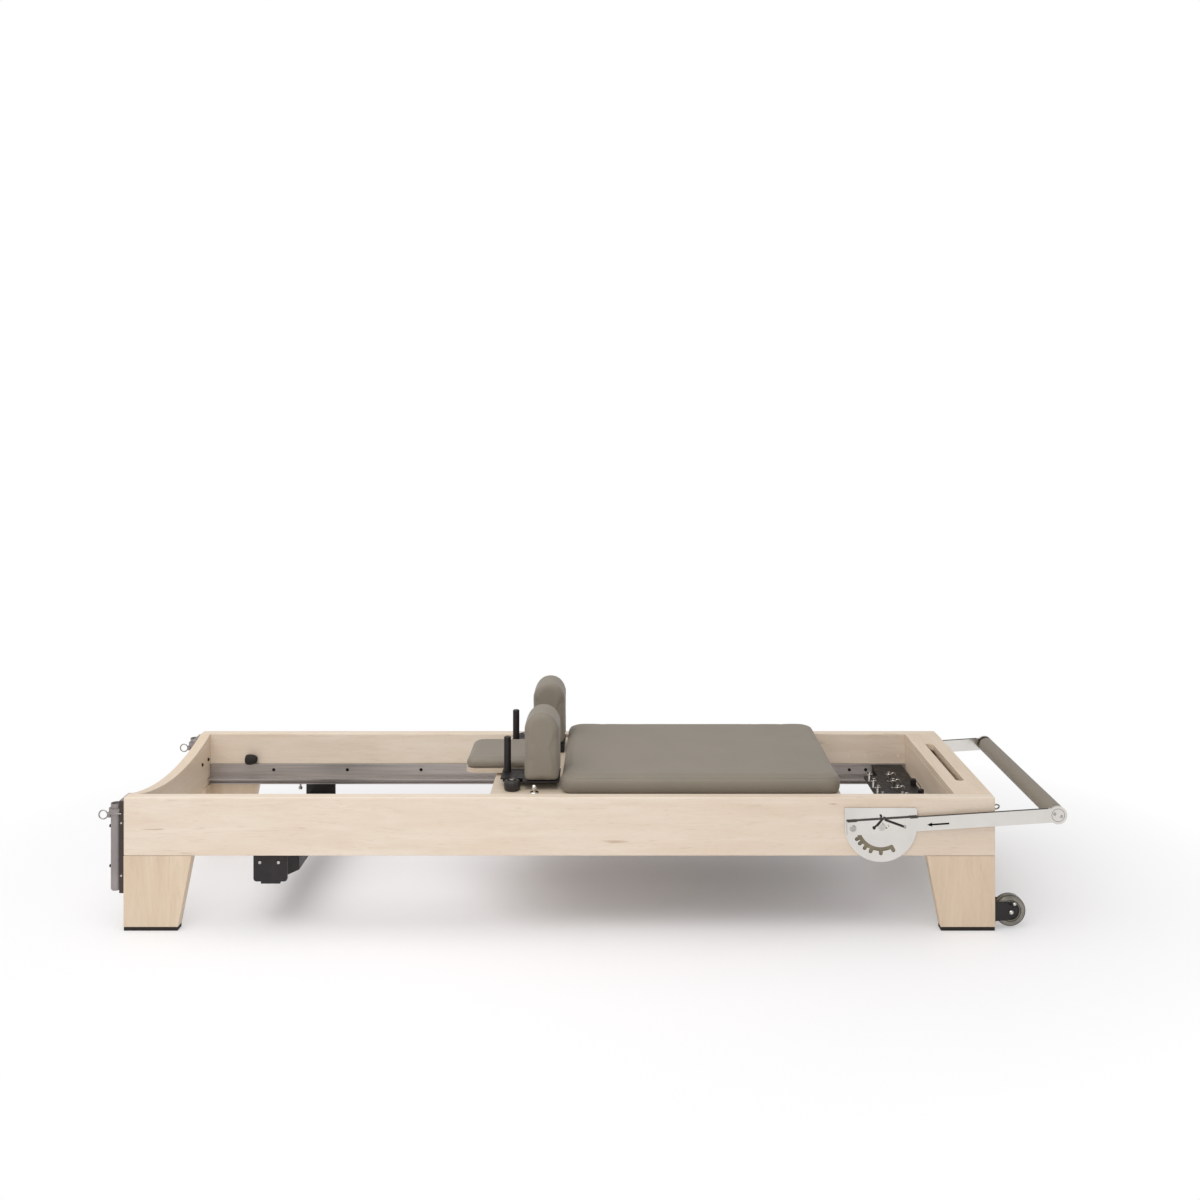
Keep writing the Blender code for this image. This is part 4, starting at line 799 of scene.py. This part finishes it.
for side, sign in SIDES:
    face = sign * ARM_FACE
    out = Vector((0, sign, 0))
    bm = bmesh.new()
    bolt_into(bm, on_arm(END_BOLT, 0, face), out, 0.0092, 0.0022, 0.55)
    for along, up in GRIP_BOLTS:
        bolt_into(bm, on_arm(GRIP_REACH + along, up, face), out, 0.0045, 0.0014)
    piece(f"arm_bolts_{side}", bm, BOLT, "footbar")
    bolts(f"pivot_cap_{side}", [(beside(sign, 0, 0, PIVOT_CAP_LIFT), out)], BOLT, "footbar_pivot",
          radius=0.0086, height=0.0008)
    bm = bmesh.new()
    bm.faces.new([bm.verts.new(on_arm(a, u - ARROW_DROP, face + sign * 0.00012)) for a, u in ARROW])
    bmesh.ops.solidify(bm, geom=bm.faces[:], thickness=0.0001)
    piece(f"arm_arrow_{side}", bm, INK_DARK, "footbar")

    bm = bmesh.new()
    sweep_into(bm, [beside(sign, *point) for point in LATCH_PATH], LATCH_WIRE)
    lathe_into(bm, stretched(LATCH_BUTTON, 1, sign), "Y", beside(sign, -0.0205, -0.003, 0.0001), 20)
    lathe_into(bm, stretched(LATCH_PIN, 1, sign), "Y", beside(sign, 0.0, 0.0275, -0.0078), 20)
    piece(f"latch_hook_{side}", bm, SCREW_BLACK, "footbar_pivot", 50)
    bm = bmesh.new()
    sweep_into(bm, [beside(sign, 0.009 + 0.051 * i / BAND_STEPS, 0.0195 - 0.0185 * i / BAND_STEPS, BAND_LIFT)
                    for i in range(BAND_STEPS + 1)], BAND_R)
    band = piece(f"latch_band_{side}", bm, WEB, None, 60)
    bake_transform(band)
    bolts(f"latch_screw_{side}", [(beside(sign, 0.0635, -0.0003, 0), out)], BOLT, "footbar",
          radius=0.0042, height=0.0042)

    # Painted reflection: a dark strip along the arm's top outer edge stands in for the dark line the chrome
    # reflects there, with thicker parts where it crosses the gear plate
    bm = bmesh.new()
    for vertex in bmesh.ops.create_cube(bm, size=1)["verts"]:
        vertex.co = on_arm(PAINTED_EDGE_REFLECTION_MIDDLE + PAINTED_EDGE_REFLECTION_LONG * vertex.co.x, 0.0194 + 0.0006 * vertex.co.z,
                           face - sign * 0.0039 + 0.0074 * vertex.co.y)
    for start, end, thick in PAINTED_REFLECTION_THICK_PARTS:
        sweep_into(bm, [on_arm(start, 0.0186, face), on_arm(end, 0.0186, face)], thick, 8)
    piece(f"arm_painted_edge_reflection_{side}", bm, PAINTED_EDGE_REFLECTION, "footbar", 60)
    # Painted shade: a thin dull ring on the arm's face round the grip end stands in for the shaded edge of the
    # thicker end boss
    bm = bmesh.new()
    sweep_into(bm, ring_path(Vector((GRIP.x, face, GRIP.z)), END_LINE_R, Vector((1, 0, 0)), Vector((0, 0, 1)),
                             40), END_LINE_WIRE, 6, True)
    piece(f"arm_end_painted_outline_{side}", bm, DULL, "footbar", 60)

    # Painted shade: a thin dark sheet on the rail's face, seen through the gear plate's slot and notches,
    # stands in for the shadow inside them
    bm = bmesh.new()
    sections = [[bm.verts.new(Vector((PIVOT.x + r * math.cos(a), sign * (FACE_Y + y),
                                      PIVOT.z + r * math.sin(a)))) for r, y in SLOT_SECTION]
                for a in SLOT_ANGLES]
    bridge(bm, sections)
    bm.faces.new(sections[0])
    bm.faces.new(sections[-1][::-1])
    piece(f"slot_backing_{side}", bm, SLOT_PAINTED_SHADE, "frame")

# Transport wheels' nuts, and a smaller one above each
CHEEK_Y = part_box("transport_bracket_back")[1].y
NUT_X, NUT_Z = 1.2465, 0.0476
SMALL_NUT_AT = Vector((0.0092, 0, 0.0225))
SMALL_NUT = 0.75
NUT = [(0.0, 0.0), (0.0058, 0.0), (0.0058, 0.0015), (0.0048, 0.0022), (0.0044, 0.0036), (0.0026, 0.0050),
       (0.0, 0.0054)]
for side, sign in SIDES:
    hub = place(NUT_X, sign * CHEEK_Y, NUT_Z)
    joined(f"wheel_nuts_{side}", [(stretched(NUT, 1, sign), "Y", hub, 20),
                                  (stretched(NUT, SMALL_NUT, SMALL_NUT * sign), "Y", hub + SMALL_NUT_AT, 20)],
           CHROME, "frame", 50)

# Travel stops, with the profile as shares of the radius and the length
STOP_PROFILE = [(0, 0), (0.62, 0), (0.82, 0.04), (0.94, 0.13), (1, 0.26), (1, 0.46), (0.94, 0.60),
                (0.86, 0.72), (0.76, 0.84), (0.60, 0.94), (0.36, 0.99), (0, 1)]
for side, sign in SIDES:
    node = f"travel_stop_{side}"
    low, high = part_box(node)
    hub = middle(node)
    hub.x = low.x
    buffer = lathe(f"rubber_buffer_{side}", stretched(STOP_PROFILE, (high.z - low.z) / 2, high.x - low.x),
                   "X", hub, RUBBER, "frame")
    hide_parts(node)

# Clamp knobs, with rings as (share of the radius, share of the height, whether ribbed), and plungers
KNOB_RINGS = ((0, 0, False), (0.86, 0, True), (0.97, 0.10, True), (1, 0.30, True), (1, 0.68, True),
              (0.95, 0.80, True), (0.84, 0.86, False), (0.56, 0.88, False), (0.52, 0.80, False),
              (0, 0.80, False))
KNOB_STEPS, KNOB_RIBS, RIB_DEPTH = 96, 12, 0.055
KNOB_CAP = [(0, 0.80), (0.40, 0.80), (0.40, 0.93), (0.30, 1), (0, 1)]
PLUNGER = [(0.0035, 0.0002), (0.0068, 0.0003), (0.0068, 0.004), (0.0036, 0.0052), (0.0034, 0.0080)]
PLUNGER_ROD, PLUNGER_BALL_Z = 0.0035, 0.0158
FLANGE = [(0.0078, 0.0003), (0.0125, 0.0003), (0.0125, 0.0018), (0.0110, 0.0030), (0.0078, 0.0030),
          (0.0078, 0.0003)]
for side, sign in SIDES:
    node = f"clamp_knob_{side}"
    low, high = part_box(node)
    hub = middle(node)
    hub.z = low.z
    radius, tall = (high.x - low.x) / 2, high.z - low.z
    bm = bmesh.new()
    rings = []
    for share, level, ribbed in KNOB_RINGS:
        rings.append([])
        for a in circle(KNOB_STEPS if share else 1):
            dip = RIB_DEPTH * max(0.0, math.cos(KNOB_RIBS * a)) ** 2 if ribbed else 0
            r = radius * (share - dip)
            rings[-1].append(bm.verts.new(hub + Vector((r * math.cos(a), r * math.sin(a), tall * level))))
    bridge(bm, rings)
    grip_knob = piece(f"ribbed_knob_{side}", bm, KNOB, node, 40)
    lathe(f"knob_cap_{side}", stretched(KNOB_CAP, radius, tall), "Z", hub, DULL, node)
    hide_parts(node)
    node = f"rest_plunger_{side}"
    rod_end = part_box(node)[0].z
    hub = middle(node)
    hub.z = 0
    profile = [(0.0, rod_end), (PLUNGER_ROD, rod_end), *[(r, DECK_TOP + h) for r, h in PLUNGER],
               *[(r, DECK_TOP + PLUNGER_BALL_Z + h) for r, h in ball(0.0076, -0.9, 1.0, 9)]]
    plunger = lathe(f"chrome_plunger_{side}", profile, "Z", hub, CHROME, node, 28)
    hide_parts(node)
    lathe(f"plunger_flange_{side}", FLANGE, "Z", Vector((hub.x, hub.y, DECK_TOP)), CHROME, "carriage", 28)


# Camera, as the photograph was taken

CAMERA_DISTANCE = 3.6
CAMERA_HEIGHT = 1.494
CAMERA_X = 0.167
FOCAL_PIXELS = 1308.0
IMAGE_PIXELS = 1200.0
VANISHING_X = 620.0
HORIZON_Y = 388.0
SENSOR = 36.0
FAR_CLIP = 60

eye = bpy.data.cameras.new("photo_camera")
eye.sensor_width = SENSOR
eye.lens = FOCAL_PIXELS / IMAGE_PIXELS * SENSOR
eye.shift_x = (IMAGE_PIXELS / 2 - VANISHING_X) / IMAGE_PIXELS
eye.shift_y = -(IMAGE_PIXELS / 2 - HORIZON_Y) / IMAGE_PIXELS
eye.clip_end = FAR_CLIP
camera = linked("photo_camera", eye)
camera.location = (MID_X + CAMERA_X, -FACE_Y - CAMERA_DISTANCE, CAMERA_HEIGHT)
camera.rotation_euler = (math.pi / 2, 0, 0)
bpy.context.scene.camera = camera


# Floor, backdrop and light

FLOOR_HALF = 20
FLOOR_DROP = 0.0004
FADE_SCALE = (0.42, 0.55, 1)
FADE_SHIFT = (0.0, -0.1, 0)
FADE_START, FADE_END = 0.39, 0.88
WORLD_STRENGTH = 0.62


def joined_values(nodes, links, operation, one, two):
    """Two values brought together by a math node."""
    node = nodes.new("ShaderNodeMath")
    node.operation = operation
    links.new(one, node.inputs[0])
    links.new(two, node.inputs[1])
    return node.outputs["Value"]


def studio():
    """A pale floor that keeps the shadow and fades to white around it, and a white world."""
    floor_mesh = bpy.data.meshes.new("studio_floor")
    bm = bmesh.new()
    bmesh.ops.create_grid(bm, x_segments=1, y_segments=1, size=FLOOR_HALF)
    bm.to_mesh(floor_mesh)
    bm.free()
    floor = linked("studio_floor", floor_mesh)
    floor.location = (0, 0, -FLOOR_DROP)
    mat, nodes, links, shader = new_material("floor_pale")
    shader.inputs["Base Color"].default_value = (0.93, 0.92, 0.935, 1)
    shader.inputs["Roughness"].default_value = 0.6
    shader.inputs["Specular IOR Level"].default_value = 0.2
    length = nodes.new("ShaderNodeVectorMath")
    length.operation = "LENGTH"
    links.new(coords(nodes, links, FADE_SCALE, FADE_SHIFT), length.inputs[0])
    fade = scaled(nodes, links, length.outputs["Value"], FADE_START, FADE_END, 0.0, 1.0)
    seen = nodes.new("ShaderNodeLightPath").outputs
    in_view = joined_values(nodes, links, "MAXIMUM", seen["Is Camera Ray"], seen["Is Glossy Ray"])
    white = nodes.new("ShaderNodeEmission")
    white.inputs["Color"].default_value = (1, 1, 1, 1)
    blend = nodes.new("ShaderNodeMixShader")
    links.new(joined_values(nodes, links, "MULTIPLY", fade, in_view), blend.inputs["Fac"])
    links.new(shader.outputs["BSDF"], blend.inputs[1])
    links.new(white.outputs["Emission"], blend.inputs[2])
    links.new(blend.outputs["Shader"], nodes["Material Output"].inputs["Surface"])
    floor_mesh.materials.append(mat)

    world = bpy.data.worlds.new("studio_white")
    bpy.context.scene.world = world
    world.use_nodes = True
    nodes, links = world.node_tree.nodes, world.node_tree.links
    soft = nodes["Background"]
    soft.inputs["Color"].default_value = (1.0, 0.99, 0.98, 1)
    soft.inputs["Strength"].default_value = WORLD_STRENGTH
    seen = nodes.new("ShaderNodeLightPath").outputs
    bright = nodes.new("ShaderNodeBackground")
    bright.inputs["Color"].default_value = (1, 1, 1, 1)
    either = joined_values(nodes, links, "MAXIMUM", seen["Is Camera Ray"], seen["Is Transmission Ray"])
    blend = nodes.new("ShaderNodeMixShader")
    links.new(either, blend.inputs["Fac"])
    links.new(soft.outputs["Background"], blend.inputs[1])
    links.new(bright.outputs["Background"], blend.inputs[2])
    links.new(blend.outputs["Shader"], nodes["World Output"].inputs["Surface"])


def lamp(name, position, target, size, power):
    """A rectangular area lamp that faces a target."""
    light = bpy.data.lights.new(name, "AREA")
    light.shape = "RECTANGLE"
    light.size, light.size_y = size
    light.energy = power
    obj = linked(name, light)
    obj.location = position
    obj.rotation_euler = (Vector(target) - Vector(position)).to_track_quat("-Z", "Y").to_euler()


bpy.context.scene.view_settings.view_transform = "Standard"
studio()
lamp("key_overhead", (-0.8, -0.8, 3.2), target=(0, 0, 0.3), size=(4.0, 2.6), power=58)
lamp("fill_front", (-1.5, -4.3, 1.9), target=(-0.2, 0, 0.3), size=(4.0, 2.0), power=45)
